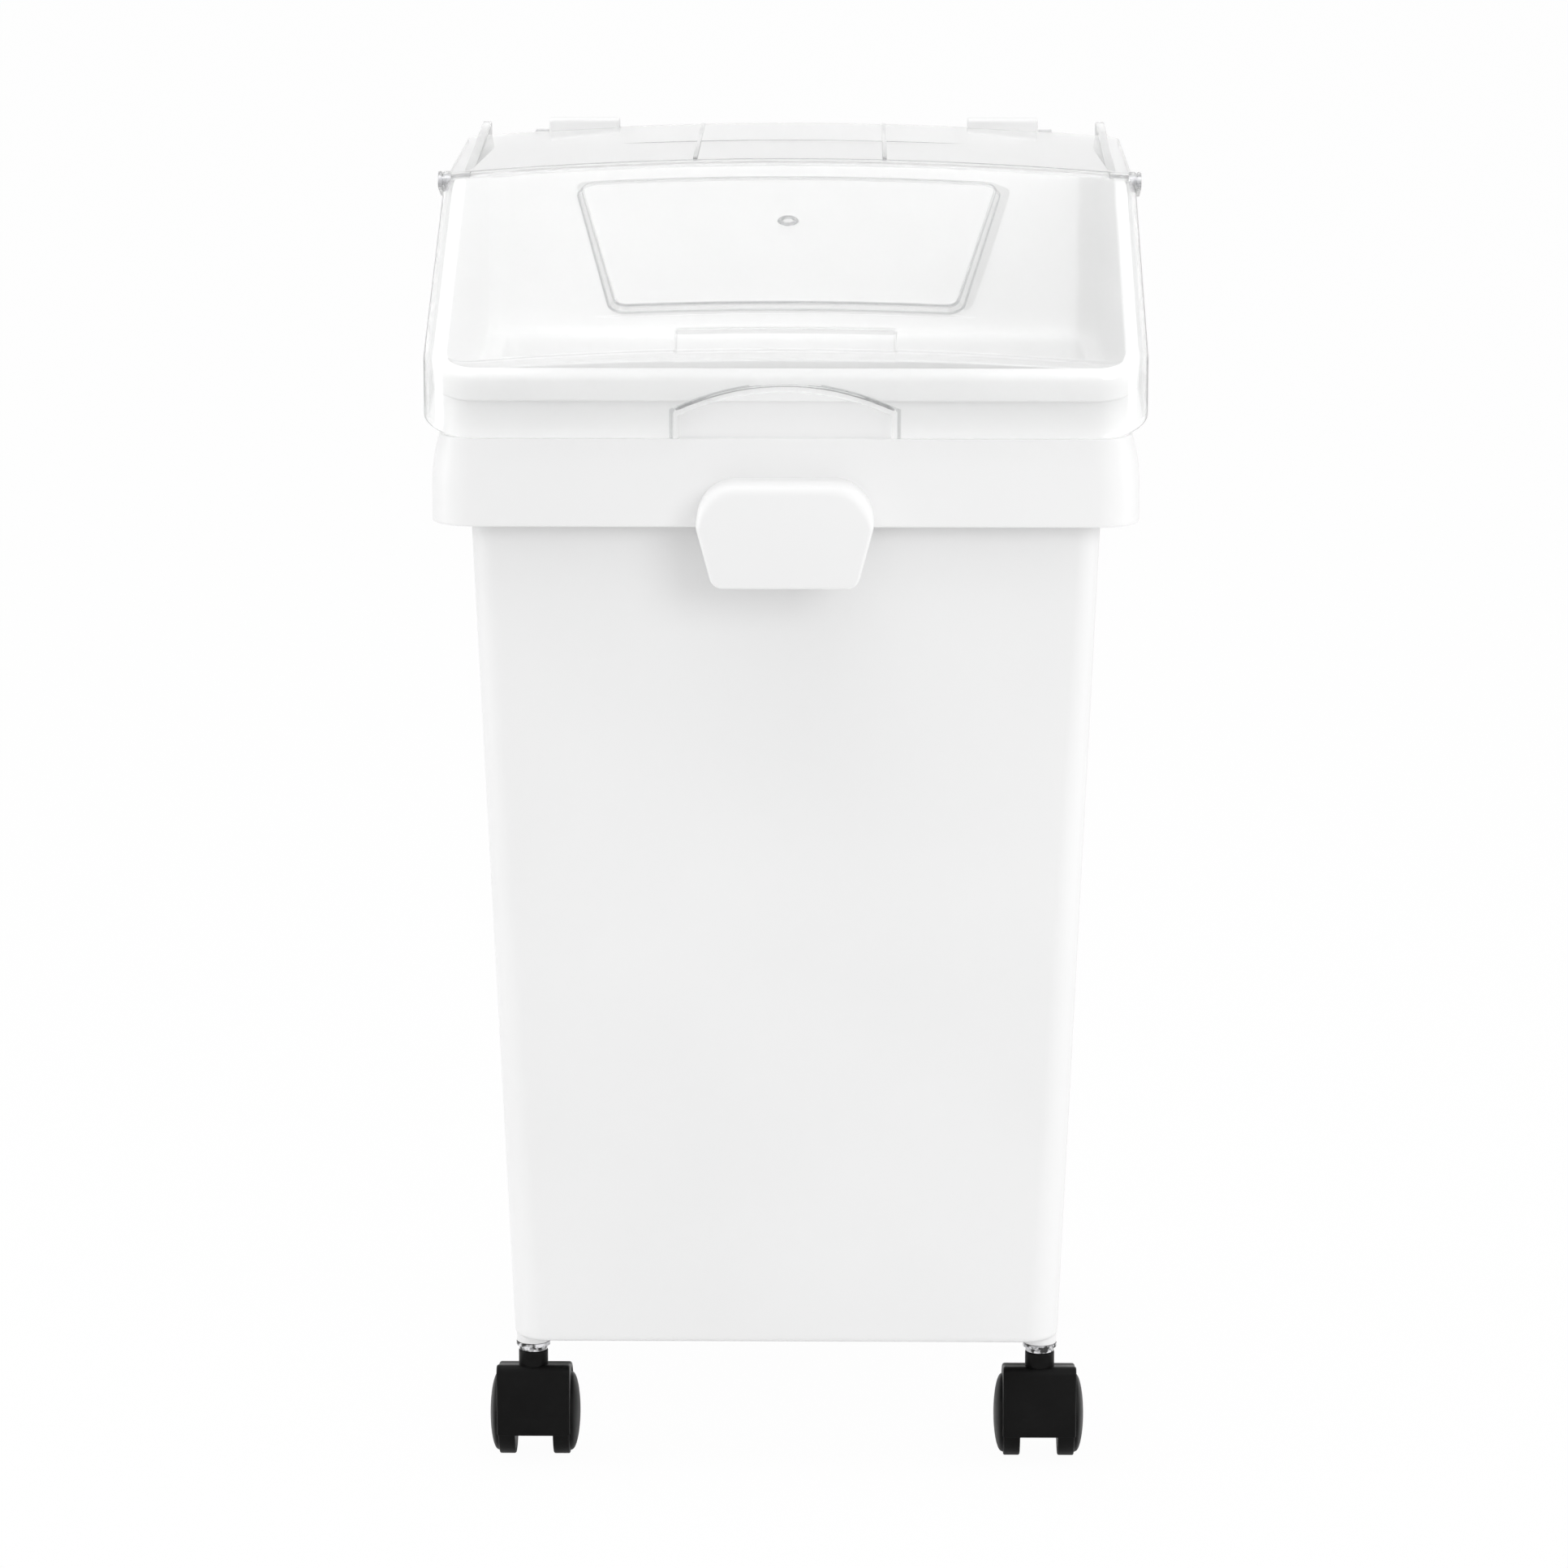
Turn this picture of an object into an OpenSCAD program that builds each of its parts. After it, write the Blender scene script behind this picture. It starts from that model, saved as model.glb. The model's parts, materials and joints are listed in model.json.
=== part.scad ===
// Mobile rice bin: a tapered one-piece tub on four twin-wheel casters, closed by
// a crowned rear cover that hinges at the back and a sloping front lid that flips up.
// Millimetres. Origin on the floor under the middle of the tub, +Z up, front towards -Y.

/* [Rim and neck] */
// Outside width of the rim bead
rim_w = 393; // [380:1:400]
// Outside depth of the rim bead, front to back
rim_d = 426; // [410:1:450]
// Plan radius of the rim bead's corners
rim_r = 23; // [20:1:30]
// Height of the rim bead
bead_h = 15.5; // [12:0.5:18]
// How far the bead stands out from the neck below it
bead_out = 5; // [3:0.5:6]
// Height of the front rim above the shelf that joins body and neck
front_rim_h = 36; // [32:1:42]
// Rise of the sloping rim from front to crest
slope_rise = 83; // [70:1:95]
// Level depth of the slope, from the front rim to the crest
slope_run = 211; // [190:1:230]

/* [Body] */
// Height from the underside of the tub to the shelf
body_h = 534; // [420:2:600]
// Draft of the body walls, in degrees
body_draft = 2.28; // [1:0.02:2.4]
// How far the body steps in below the neck
shelf_step = 13; // [10:0.5:16]
// Corner radius of the body
body_r = 15; // [12:1:22]
// Wall thickness of the tub
wall = 3; // [2.5:0.1:3.5]
// Floor thickness of the tub
floor_t = 4; // [3:0.5:6]

/* [Collar] */
// Height of the turned-down collar
collar_h = 50; // [40:1:60]
// How far the collar's top stands out from the neck
collar_out = 2; // [1:0.5:3]
// How far the side grips flare out from the collar
grip_flare = 4.5; // [3:0.5:6]
// Height over which the side grips flare
grip_flare_h = 24; // [16:1:30]

/* [Pull handle] */
// Greatest width of the cup handle
handle_w = 98.6; // [80:1:120]
// Width of the cup handle at its lower edge
handle_low_w = 80; // [70:1:90]
// How far the handle stands out from the collar
handle_out = 28; // [22:1:34]
// How far the handle hangs below the collar
handle_drop = 30; // [20:1:40]
// How far the handle's top lies above the collar's lower edge
handle_rise = 28; // [20:1:34]
// Thickness of the handle's plate
handle_t = 3.2; // [2.5:0.1:4]
// Height of the handle's widest point above the collar's lower edge
handle_waist = 4; // [2:0.5:8]
// How far each side of the handle leans in above its widest point
handle_lean = 2; // [1:0.5:4]
// Radius of the handle's lower corners
handle_low_r = 7; // [5:0.5:9]
// Radius of the handle's shoulders
handle_top_r = 22; // [16:1:24]
// Height of the eased edge along the handle's front top
handle_ease = 6.5; // [4:0.5:8]
// Depth of the handle's lower edge, front to back
handle_lip = 6.2; // [5:0.1:9]

/* [Lids] */
// Thickness of the clear lids
lid_t = 2.5; // [2:0.1:3]
// Height of the crown at the middle of the lids
crown = 9; // [5:0.5:10]
// Depth of the lids' skirts
skirt_h = 37; // [30:1:40]
// Gap between the rim bead and the flip lid's skirt
lid_side_gap = 3; // [2.5:0.1:4]
// Gap between the rim's top and the lids
seat_gap = 0.4; // [0.3:0.05:0.8]
// Plan radius of the rear cover's back corners
cover_r = 6; // [5:1:20]
// Gap between the rim bead and the rear cover's skirts
cover_side_gap = 1.5; // [1:0.1:2]
// Distance from the rear cover's front edge back to its skirts
skirt_back = 3.2; // [3:0.1:5]

/* [Lid pivot] */
// Depth of the pivot below the lid's level top at its sides
pivot_drop = 2.4; // [2:0.1:2.8]
// Length of the lid behind its pivot
lid_tail = 12; // [10:0.5:14]
// Gap between the neck's inside and the sides of the lid's tail
tail_gap = 2; // [1:0.5:4]
// Radius of the pivot pins
pivot_pin_r = 2.5; // [2:0.1:3]
// Radius of the cover's pivot ears and of the lid's pivot bosses
ear_r = 5.5; // [5:0.1:6]
// Thickness of the cover's pivot ears
ear_t = 2.5; // [2:0.1:3]
// Distance the lid's pivot bosses stand inside its skirts
lid_boss = 2; // [1:0.5:3]
// Gap between the lid's tail and the front edge of the rear cover
cover_gap = 2.8; // [2.5:0.1:4]

/* [Arch cut-out] */
// Width of the cut-out in the lid's front skirt
arch_w = 118; // [90:2:130]
// Height of the cut-out's straight legs above the skirt's lower edge
arch_leg_h = 13; // [9:1:15]
// Height of the cut-out's crown above its legs
arch_rise = 13; // [9:1:14]
// Width of the raised border around the cut-out
arch_border = 4.5; // [3:0.5:5.5]
// How far the border stands out from the skirt
arch_proud = 1.5; // [1:0.1:2]

/* [Raised lid panel] */
// Width of the panel's upper edge
panel_top_w = 246; // [200:2:260]
// Width of the panel's lower edge
panel_low_w = 194; // [150:2:220]
// Distance from the lid's front fold to the panel's lower edge, along the slope
panel_from = 52.5; // [45:0.5:80]
// Length of the panel along the slope
panel_len = 152.5; // [110:0.5:160]
// Height of the panel above the lid
panel_rise = 3; // [2:0.25:4]
// Corner radius of the panel
panel_r = 10; // [6:1:14]
// Radius of the moulding gate mark in the panel's middle
gate_r = 5.3; // [3:0.1:7]
// Height of the gate mark
gate_h = 0.8; // [0.4:0.1:1.2]
// Distance from the panel's middle up the slope to the gate mark
gate_up = 20; // [0:1:25]

/* [Rear cover details] */
// Distance from the cover's side edges in to the middle of each fin
fin_in = 12; // [10:0.5:20]
// Thickness of each fin
fin_t = 5.5; // [4:0.5:7]
// Height of each fin above the cover at its back end
fin_h = 10; // [6:0.5:12]
// Distance between the cover's two stiffening ribs
rib_span = 111; // [80:1:140]
// Width of each rib
rib_w = 2.5; // [2:0.1:4]
// Height of each rib
rib_h = 1.2; // [0.8:0.1:2]
// Distance from the rear cover's front edge to the ribs
rib_in = 4; // [2:0.5:8]

/* [Rear hinge] */
// Distance between the middles of the two hinge blocks
block_span = 258; // [200:2:280]
// Width of each hinge block
block_w = 43.5; // [36:0.5:50]
// Height of the blocks above the rim
block_h = 14; // [12:0.5:16]
// Thickness of the blocks, front to back
block_t = 12; // [11:0.5:14]
// Radius of the blocks' upper edges
block_r = 2.5; // [1:0.5:4]
// Distance from the rim's back to the hinge pin
hinge_back = 9; // [8:0.5:11]
// Height of the hinge pin above the rim
hinge_up = 2; // [1:0.5:3]
// Radius of the hinge pins
hinge_pin_r = 2.5; // [2:0.1:3]
// Outside radius of the cover's knuckles
knuckle_r = 5; // [4.5:0.1:5.5]
// Width of each knuckle
knuckle_w = 8; // [6:0.5:10]

/* [Casters] */
// Radius of the wheels
wheel_r = 25; // [22:0.5:27]
// Width of each wheel over its domed side
wheel_w = 15.3; // [13:0.1:17]
// Width of the tread
tread_w = 9.5; // [8:0.5:11]
// Radius of each wheel's domed side
dome_r = 22.8; // [21:0.1:23]
// How far the axle reaches into each wheel, as a share of its width
axle_reach = 0.7; // [0.5:0.05:0.75]
// Width of the web between the wheels
web_w = 21; // [19:0.5:24]
// Outside radius of the hood
hood_r = 28.8; // [28:0.1:34]
// Thickness of the hood
hood_t = 3.2; // [2.5:0.1:4]
// Distance from the axle forward to the front face of the hood's shoulder
shoulder_out = 28.5; // [27:0.1:33]
// Height of the shoulder's front edge above the axle
shoulder_up = 36.5; // [30:0.5:38]
// Radius of the shoulder's front edge
hood_corner_r = 4.5; // [2:0.5:8]
// Width of the hood
hood_w = 42.5; // [38:0.5:46]
// How far the hood's front edge hangs below the axle
hood_drop = 7; // [4:0.5:10]
// How far the hood reaches back from the axle, level
hood_back = 26; // [22:0.5:28]
// Height of the hood's back end above the axle
hood_back_z = 12; // [10:0.5:15]
// Level distance from the swivel stem to the wheel axle
trail = 18; // [15:0.5:22]
// Height from the floor to the top of the swivel neck
neck_top = 68.5; // [62:0.5:70]
// Outside radius of the swivel neck
neck_r = 8.5; // [7.5:0.1:9.5]
// Radius of the swivel pin
swivel_r = 5.5; // [4.5:0.1:6]
// Radius of the wheel axle
axle_r = 3; // [2.5:0.1:4]
// Distance from the side of the tub's base in to the stem
stem_in_x = 9.8; // [9:0.1:24]
// How much further in the rear stems stand than the front ones
rear_in = 6; // [0:0.5:12]
// Distance from the front or back of the tub's base in to the stem
stem_in_y = 25; // [16:0.5:40]

/* [Caster fasteners] */
// Radius of the threaded stem
stem_r = 4; // [3:0.5:5]
// Radius of the stem's shoulder
shoulder_r = 8.2; // [7:0.1:9]
// Thickness of the stem's shoulder
shoulder_t = 2.7; // [2:0.1:4]
// Outside radius of the washer under the tub
washer_r = 9.8; // [9:0.1:10]
// Thickness of the washer under the tub
washer_t = 2; // [1:0.1:3]
// Outside radius of the washer inside the tub
inner_washer_r = 6.5; // [6:0.1:7.5]
// Thickness of the washer inside the tub
inner_washer_t = 1.2; // [1:0.1:2]
// Width of the nut across its flats
nut_af = 13; // [10:0.5:13.5]
// Height of the nut
nut_h = 6.5; // [5:0.5:8]
// Radius of the boss around each stem
boss_r = 9.5; // [8.5:0.1:12]
// How far the boss stands below the tub
boss_drop = 6.5; // [3:0.5:8]

/* [Clearances] */
// Radial clearance of a running pin
run_gap = 0.05; // [0.03:0.01:0.1]
// Radial interference of a pressed pin
press = 0.01; // [0.005:0.005:0.02]
// Gap between parts that turn beside each other
side_gap = 0.5; // [0.3:0.05:0.6]
// Radial clearance of a bolt hole
hole_gap = 0.2; // [0.1:0.05:0.4]
// Gap above and below the swivel pin, and at the end of each wheel's axle bore
swivel_gap = 0.3; // [0.3:0.05:0.5]
// Gap between each wheel and the web beside it
wheel_gap = 0.5; // [0.3:0.05:0.6]

/* [Hidden] */

$fn = 96;
// Facets of the very large cylinders that crown the lids
crown_fn = 720;
// Segments of a rounded corner in a drawn outline
arc_steps = 6;
// Overrun of a cut past the face it leaves
over = 1;
// Longer than anything in the part, for cutting blocks
far = 1000;

// Heights, from the floor up
shoulder_z = neck_top + swivel_gap;
washer_z = shoulder_z + shoulder_t;
boss_z = washer_z + washer_t;
base_z = boss_z + boss_drop;
floor_z = base_z + floor_t;
shelf_z = base_z + body_h;
collar_z = shelf_z - collar_h;
rim_front_z = shelf_z + front_rim_h;
rim_z = rim_front_z + slope_rise;

// Half sizes in plan
rim_x = rim_w / 2;
rim_y = rim_d / 2;
neck_x = rim_x - bead_out;
neck_y = rim_y - bead_out;
body_top_x = neck_x - shelf_step;
body_top_y = neck_y - shelf_step;
base_x = body_top_x - body_h * tan(body_draft);
base_y = body_top_y - body_h * tan(body_draft);
collar_x = neck_x + collar_out;
collar_y = neck_y + collar_out;
grip_x = collar_x + grip_flare;

// The sloping rim
crest_y = slope_run - rim_y;
slope = atan(slope_rise / slope_run);

// The lids
lid_x = rim_x + lid_side_gap + lid_t;
lid_front_y = -rim_y - lid_side_gap;
lid_d = seat_gap + lid_t;
lid_top_z = rim_z + lid_d;
crown_r = (lid_x * lid_x + crown * crown) / (2 * crown);
pivot_y = crest_y;
pivot_z = lid_top_z - pivot_drop;
tail_y = pivot_y + lid_tail;
tail_x = neck_x - wall - tail_gap;
cover_y = tail_y + cover_gap;
cover_x = rim_x + cover_side_gap + lid_t;
cover_skirt_y = cover_y + skirt_back;
ear_x = lid_x + side_gap;
fold_z = lid_top_z - (crest_y - lid_d * tan(slope / 2) - lid_front_y) * tan(slope);
skirt_z = fold_z - skirt_h;

// The rear hinge
hinge_y = rim_y + hinge_back;
hinge_z = rim_z + hinge_up;

// The casters
axle_z = wheel_r;
swivel_len = neck_top - axle_z - axle_r - 6;
stem_top = floor_z + inner_washer_t + nut_h + 2;
stem_x = base_x - stem_in_x;
stem_y = base_y - stem_in_y;
wheel_in = web_w / 2 + wheel_gap;
axle_half = wheel_in + axle_reach * wheel_w;

WHITE = [0.93, 0.93, 0.92];
CLEAR = [0.85, 0.88, 0.9, 0.35];
BLACK = [0.09, 0.09, 0.1];
STEEL = [0.75, 0.76, 0.78];

// ---- Outlines ----------------------------------------------------------------

function unit(v) = v / norm(v);

// Points of a round corner at b between a and c
function corner_arc(a, b, c, r) =
  let (
    u = unit(a - b),
    v = unit(c - b),
    half = acos(u * v) / 2,
    m = b + unit(u + v) * (r / sin(half)),
    p = b + u * (r / tan(half)) - m,
    q = b + v * (r / tan(half)) - m,
    start = atan2(p[1], p[0]),
    turn = atan2(q[1], q[0]) - start,
    sweep = turn > 180 ? turn - 360 : turn < -180 ? turn + 360 : turn
  )
  [for (k = [0 : arc_steps])
    let (t = start + sweep * k / arc_steps)
    m + r * [cos(t), sin(t)]];

// The outline through pts with each corner rounded to its own radius
function rounded(pts, radii) =
  let (n = len(pts))
  [for (i = [0 : n - 1])
    each (radii[i] > 0
      ? corner_arc(pts[(i + n - 1) % n], pts[i], pts[(i + 1) % n], radii[i])
      : [pts[i]])];

// Rectangle with round corners, half sizes hx and hy
module round_rect(hx, hy, r) {
  square([2 * (hx - r), 2 * hy], center = true);
  square([2 * hx, 2 * (hy - r)], center = true);
  for (sx = [-1, 1], sy = [-1, 1])
    translate([sx * (hx - r), sy * (hy - r)])
      circle(r = r);
}

// Extrudes a drawing in Y and Z along X, from x0 to x1
module along_x(x0, x1) {
  translate([x0, 0, 0])
    rotate([90, 0, 90])
      linear_extrude(x1 - x0)
        children();
}

// Extrudes a drawing in X and Z along Y, from y0 to y1
module along_y(y0, y1) {
  translate([0, y1, 0])
    rotate([90, 0, 0])
      linear_extrude(y1 - y0)
        children();
}

// ---- Tub ---------------------------------------------------------------------

// Block with drafted walls and round corners; hx and hy are its half sizes at z0
module drafted_block(hx, hy, r, z0, z1) {
  g = tan(body_draft);
  lift = (z1 - z0) * g;
  inset = r / cos(body_draft);
  tilt = atan(g * sqrt(2));
  // a hair inside the flat walls, so that the surfaces cross cleanly
  hair = 0.01;
  module frustum(ax, ay) {
    intersection() {
      along_y(-far, far)
        polygon([[-ax, z0], [ax, z0], [ax + lift, z1], [-ax - lift, z1]]);
      along_x(-far, far)
        polygon([[-ay, z0], [ay, z0], [ay + lift, z1], [-ay - lift, z1]]);
    }
  }
  frustum(hx - inset, hy);
  frustum(hx, hy - inset);
  intersection() {
    translate([-far / 2, -far / 2, z0])
      cube([far, far, z1 - z0]);
    for (sx = [-1, 1], sy = [-1, 1])
      translate([sx * (hx - inset), sy * (hy - inset), z0])
        rotate([0, tilt, atan2(sy, sx)])
          translate([0, 0, -r])
            cylinder(r = r - hair, h = z1 - z0 + 3 * r);
  }
}

// The space below the rim line, lowered by drop; it ends at z0
module below_rim(z0, drop) {
  along_x(-far / 2, far / 2)
    polygon([
      [-far / 2, z0], [far / 2, z0], [far / 2, rim_z - drop], [crest_y, rim_z - drop],
      [-rim_y, rim_front_z - drop], [-far / 2, rim_front_z - drop - (far / 2 - rim_y) * tan(slope)]
    ]);
}

module neck_and_bead() {
  intersection() {
    translate([0, 0, shelf_z - wall / 3])
      linear_extrude(far)
        round_rect(neck_x, neck_y, rim_r - bead_out);
    below_rim(collar_z, 0);
  }
  difference() {
    intersection() {
      translate([0, 0, shelf_z])
        linear_extrude(far)
          round_rect(rim_x, rim_y, rim_r);
      below_rim(shelf_z, 0);
    }
    below_rim(shelf_z - over, bead_h);
  }
}

// Front outline of the collar, flared at the sides; t is the thickness taken off it
module collar_outline(t, top_z, low_z) {
  x0 = collar_x - t;
  x1 = grip_x - t;
  x_mid = x1 - grip_flare / 3;
  flare_z = shelf_z - grip_flare_h;
  mid_z = shelf_z - grip_flare_h / 2;
  polygon([
    [-x1, low_z], [x1, low_z], [x1, flare_z], [x_mid, mid_z], [x0, shelf_z], [x0, top_z],
    [-x0, top_z], [-x0, shelf_z], [-x_mid, mid_z], [-x1, flare_z]
  ]);
}

module collar() {
  r = rim_r + 1;
  difference() {
    intersection() {
      translate([0, 0, collar_z])
        linear_extrude(collar_h)
          round_rect(grip_x, collar_y, r);
      along_y(-far / 2, far / 2)
        collar_outline(0, shelf_z + over, collar_z);
    }
    intersection() {
      translate([0, 0, collar_z - over])
        linear_extrude(collar_h - wall + over)
          round_rect(grip_x - wall, collar_y - wall, r - wall);
      along_y(-far / 2, far / 2)
        collar_outline(wall, shelf_z + over, collar_z - over);
    }
  }
}

// Front outline of the cup handle, taken in by t; low adds to its lower edge
module handle_outline(t, low) {
  low_z = collar_z - handle_drop - low;
  mid_z = collar_z + handle_waist;
  top_z = collar_z + handle_rise - t;
  half_low = handle_low_w / 2 - t;
  half = handle_w / 2 - t;
  half_top = half - handle_lean;
  low_r = handle_low_r - t;
  top_r = handle_top_r - t;
  polygon(rounded(
    [
      [-half_low, low_z], [half_low, low_z], [half, mid_z],
      [half_top, top_z], [-half_top, top_z], [-half, mid_z]
    ],
    [low_r, low_r, handle_low_r, top_r, top_r, handle_low_r]
  ));
}

// Cuts in the side view of the cup handle: its slanting lower edge and its eased front top
module handle_cuts() {
  front = -collar_y - handle_out;
  low_z = collar_z - handle_drop - over;
  top_z = collar_z + handle_rise;
  polygon([
    [front + handle_lip, low_z - over], [front + handle_lip, low_z],
    [-collar_y + over, collar_z], [-collar_y + over, low_z - over]
  ]);
  polygon([
    [front - over, top_z - handle_ease], [front, top_z - handle_ease],
    [front + handle_ease / 4, top_z - handle_ease / 3], [front + handle_ease, top_z],
    [front + handle_ease, top_z + over], [front - over, top_z + over]
  ]);
}

module pull_handle() {
  front = -collar_y - handle_out;
  difference() {
    along_y(front, -collar_y + over / 2)
      handle_outline(0, 0);
    along_y(front + handle_t, -collar_y + over)
      handle_outline(handle_t, collar_h);
    along_x(-handle_w, handle_w)
      handle_cuts();
  }
}

// The two blocks at the back that carry the cover's hinge pins
module hinge_blocks() {
  lap = 1;
  low_z = rim_z - bead_h + lap;
  top_z = rim_z + block_h;
  front = hinge_y - block_t / 2;
  back = hinge_y + block_t / 2;
  for (s = [-1, 1])
    along_x(s * block_span / 2 - block_w / 2, s * block_span / 2 + block_w / 2)
      polygon(rounded(
        [
          [rim_y - lap, low_z], [hinge_y - 2 * lap, low_z], [back, low_z + 8 * lap], [back, top_z],
          [front, top_z], [front, rim_z - lap], [rim_y - lap, rim_z - lap]
        ],
        [0, 3, 3, block_r, block_r, 0, 0]
      ));
}

module at_stems() {
  for (sx = [-1, 1], sy = [-1, 1])
    at_corner(sx, sy)
      children();
}

module tub() {
  color(WHITE)
    difference() {
      union() {
        drafted_block(base_x, base_y, body_r, base_z, shelf_z - wall / 2);
        collar();
        neck_and_bead();
        pull_handle();
        hinge_blocks();
        at_stems()
          translate([0, 0, boss_z])
            cylinder(r = boss_r, h = boss_drop + floor_t / 2);
      }
      // inside of the body
      drafted_block(
        base_x - wall + floor_t * tan(body_draft), base_y - wall + floor_t * tan(body_draft),
        body_r - wall, floor_z, shelf_z + over
      );
      // inside of the neck
      translate([0, 0, shelf_z])
        linear_extrude(far)
          round_rect(neck_x - wall, neck_y - wall, rim_r - bead_out - wall);
      at_stems()
        translate([0, 0, boss_z - over])
          cylinder(r = stem_r + hole_gap, h = far / 10);
      along_x(-rim_x, rim_x)
        translate([hinge_y, hinge_z])
          circle(r = hinge_pin_r - press);
    }
}

// ---- Lids --------------------------------------------------------------------

// The space below the crowned roof line, raised by d from the rim
module below_roof(d) {
  centre_z = crown - crown_r;
  intersection() {
    translate([0, far / 2, rim_z + centre_z])
      rotate([90, 0, 0])
        cylinder(r = crown_r + d, h = far, $fn = crown_fn);
    translate([0, crest_y, rim_z])
      rotate([slope, 0, 0])
        translate([0, far / 2, centre_z])
          rotate([90, 0, 0])
            cylinder(r = crown_r + d, h = far, $fn = crown_fn);
  }
}

// The space above the lower edge of the skirts
module above_skirt(low) {
  run = crest_y - lid_front_y;
  along_x(-far / 2, far / 2)
    polygon([
      [lid_front_y - far / 4, skirt_z - low - far / 4 * tan(slope)], [lid_front_y, skirt_z - low],
      [crest_y, skirt_z + run * tan(slope) - low], [far / 2, skirt_z + run * tan(slope) - low],
      [far / 2, far], [lid_front_y - far / 4, far]
    ]);
}

// Plan of the flip lid, taken in by t: round in front, straight behind, ending at back
module lid_plan(t, back) {
  r = rim_r + lid_side_gap + lid_t - t;
  front = lid_front_y + t;
  x = lid_x - t;
  intersection() {
    translate([0, front + far / 2])
      round_rect(x, far / 2, r);
    translate([-far / 2, front - over])
      square([far, back - front + over]);
  }
}

// Moves a drawing onto the lid's slope, with Y up the slope from the front fold
module on_slope() {
  translate([0, lid_front_y, fold_z])
    rotate([slope, 0, 0])
      children();
}

// Raised panel, taken in by t, reaching up to the roof raised by d
module raised_panel(t, d) {
  half_low = panel_low_w / 2 - t;
  half_top = panel_top_w / 2 - t;
  low = panel_from + t;
  top = panel_from + panel_len - t;
  intersection() {
    on_slope()
      translate([0, 0, -2 * lid_t])
        linear_extrude(skirt_h)
          polygon(rounded(
            [[-half_low, low], [half_low, low], [half_top, top], [-half_top, top]],
            [panel_r, panel_r, panel_r, panel_r]
          ));
    below_roof(d);
  }
}

// Front outline of the arch, grown by g
module arch(g) {
  half = arch_w / 2 + g;
  leg_z = skirt_z + arch_leg_h;
  arch_r = (arch_w * arch_w / 4 + arch_rise * arch_rise) / (2 * arch_rise);
  intersection() {
    translate([-half, skirt_z - over])
      square([2 * half, skirt_h]);
    translate([0, leg_z + arch_rise - arch_r])
      circle(r = arch_r + g, $fn = 240);
  }
}

module flip_lid() {
  boss_t = lid_t + lid_boss;
  strip_w = lid_x - lid_t - tail_x;
  color(CLEAR)
    difference() {
      union() {
        difference() {
          intersection() {
            linear_extrude(far)
              lid_plan(0, tail_y);
            union() {
              below_roof(lid_d);
              raised_panel(0, lid_d + panel_rise);
            }
            above_skirt(0);
          }
          intersection() {
            linear_extrude(far)
              lid_plan(lid_t, tail_y + over);
            union() {
              below_roof(seat_gap);
              raised_panel(lid_t, seat_gap + panel_rise);
            }
          }
          // the rim passes here when the lid is open
          for (s = [-1, 1])
            translate([s * (tail_x + strip_w / 2) - strip_w / 2, pivot_y - pivot_drop, pivot_z - ear_r])
              cube([strip_w, far, far]);
        }
        // border of the arch
        intersection() {
          along_y(lid_front_y - arch_proud, lid_front_y + lid_t / 4)
            arch(arch_border);
          above_skirt(far / 4 * tan(slope));
          translate([-far / 2, -far, skirt_z])
            cube([far, 2 * far, far]);
        }
        // bosses that run on the pivot pins
        for (s = [-1, 1])
          translate([s * (lid_x - boss_t / 2) - boss_t / 2, pivot_y, pivot_z])
            rotate([0, 90, 0])
              cylinder(r = ear_r, h = boss_t);
        // gate mark
        intersection() {
          on_slope()
            translate([0, panel_from + panel_len / 2 + gate_up, 0])
              cylinder(r = gate_r, h = skirt_h);
          difference() {
            below_roof(lid_d + panel_rise + gate_h);
            below_roof(lid_d + panel_rise - over);
          }
        }
      }
      along_y(lid_front_y - arch_proud - over, lid_front_y + lid_t + over)
        arch(0);
      translate([-far / 2, pivot_y, pivot_z])
        rotate([0, 90, 0])
          cylinder(r = pivot_pin_r + run_gap, h = far);
    }
}

// Plan of the rear cover, taken in by t: straight in front, round behind
module cover_plan(t) {
  x = cover_x - t;
  finger_w = lid_x - lid_t - tail_x - 2 * side_gap;
  finger_y = pivot_y + ear_r + side_gap;
  intersection() {
    translate([0, rim_y - far / 2])
      round_rect(x, far / 2, cover_r);
    union() {
      translate([-far / 2, cover_y])
        square([far, far]);
      // corners that fill in beside the lid's tail
      for (s = [-1, 1])
        translate([s * (tail_x + side_gap + finger_w / 2) - finger_w / 2, finger_y])
          square([finger_w, far]);
    }
  }
}

module cover_knuckles() {
  offset_x = block_w / 2 + side_gap + knuckle_w / 2;
  root_y = rim_y - 7;
  low_z = rim_z + seat_gap + 0.2;
  for (s = [-1, 1], e = [-1, 1]) {
    x = s * block_span / 2 + e * offset_x;
    along_x(x - knuckle_w / 2, x + knuckle_w / 2) {
      translate([hinge_y, hinge_z])
        circle(r = knuckle_r);
      polygon([
        [root_y, low_z], [rim_y + over, low_z], [hinge_y - knuckle_r / 2, hinge_z - 0.7 * knuckle_r],
        [hinge_y, hinge_z], [hinge_y, hinge_z + knuckle_r], [root_y, rim_z + knuckle_r + 7]
      ]);
    }
  }
}

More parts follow.
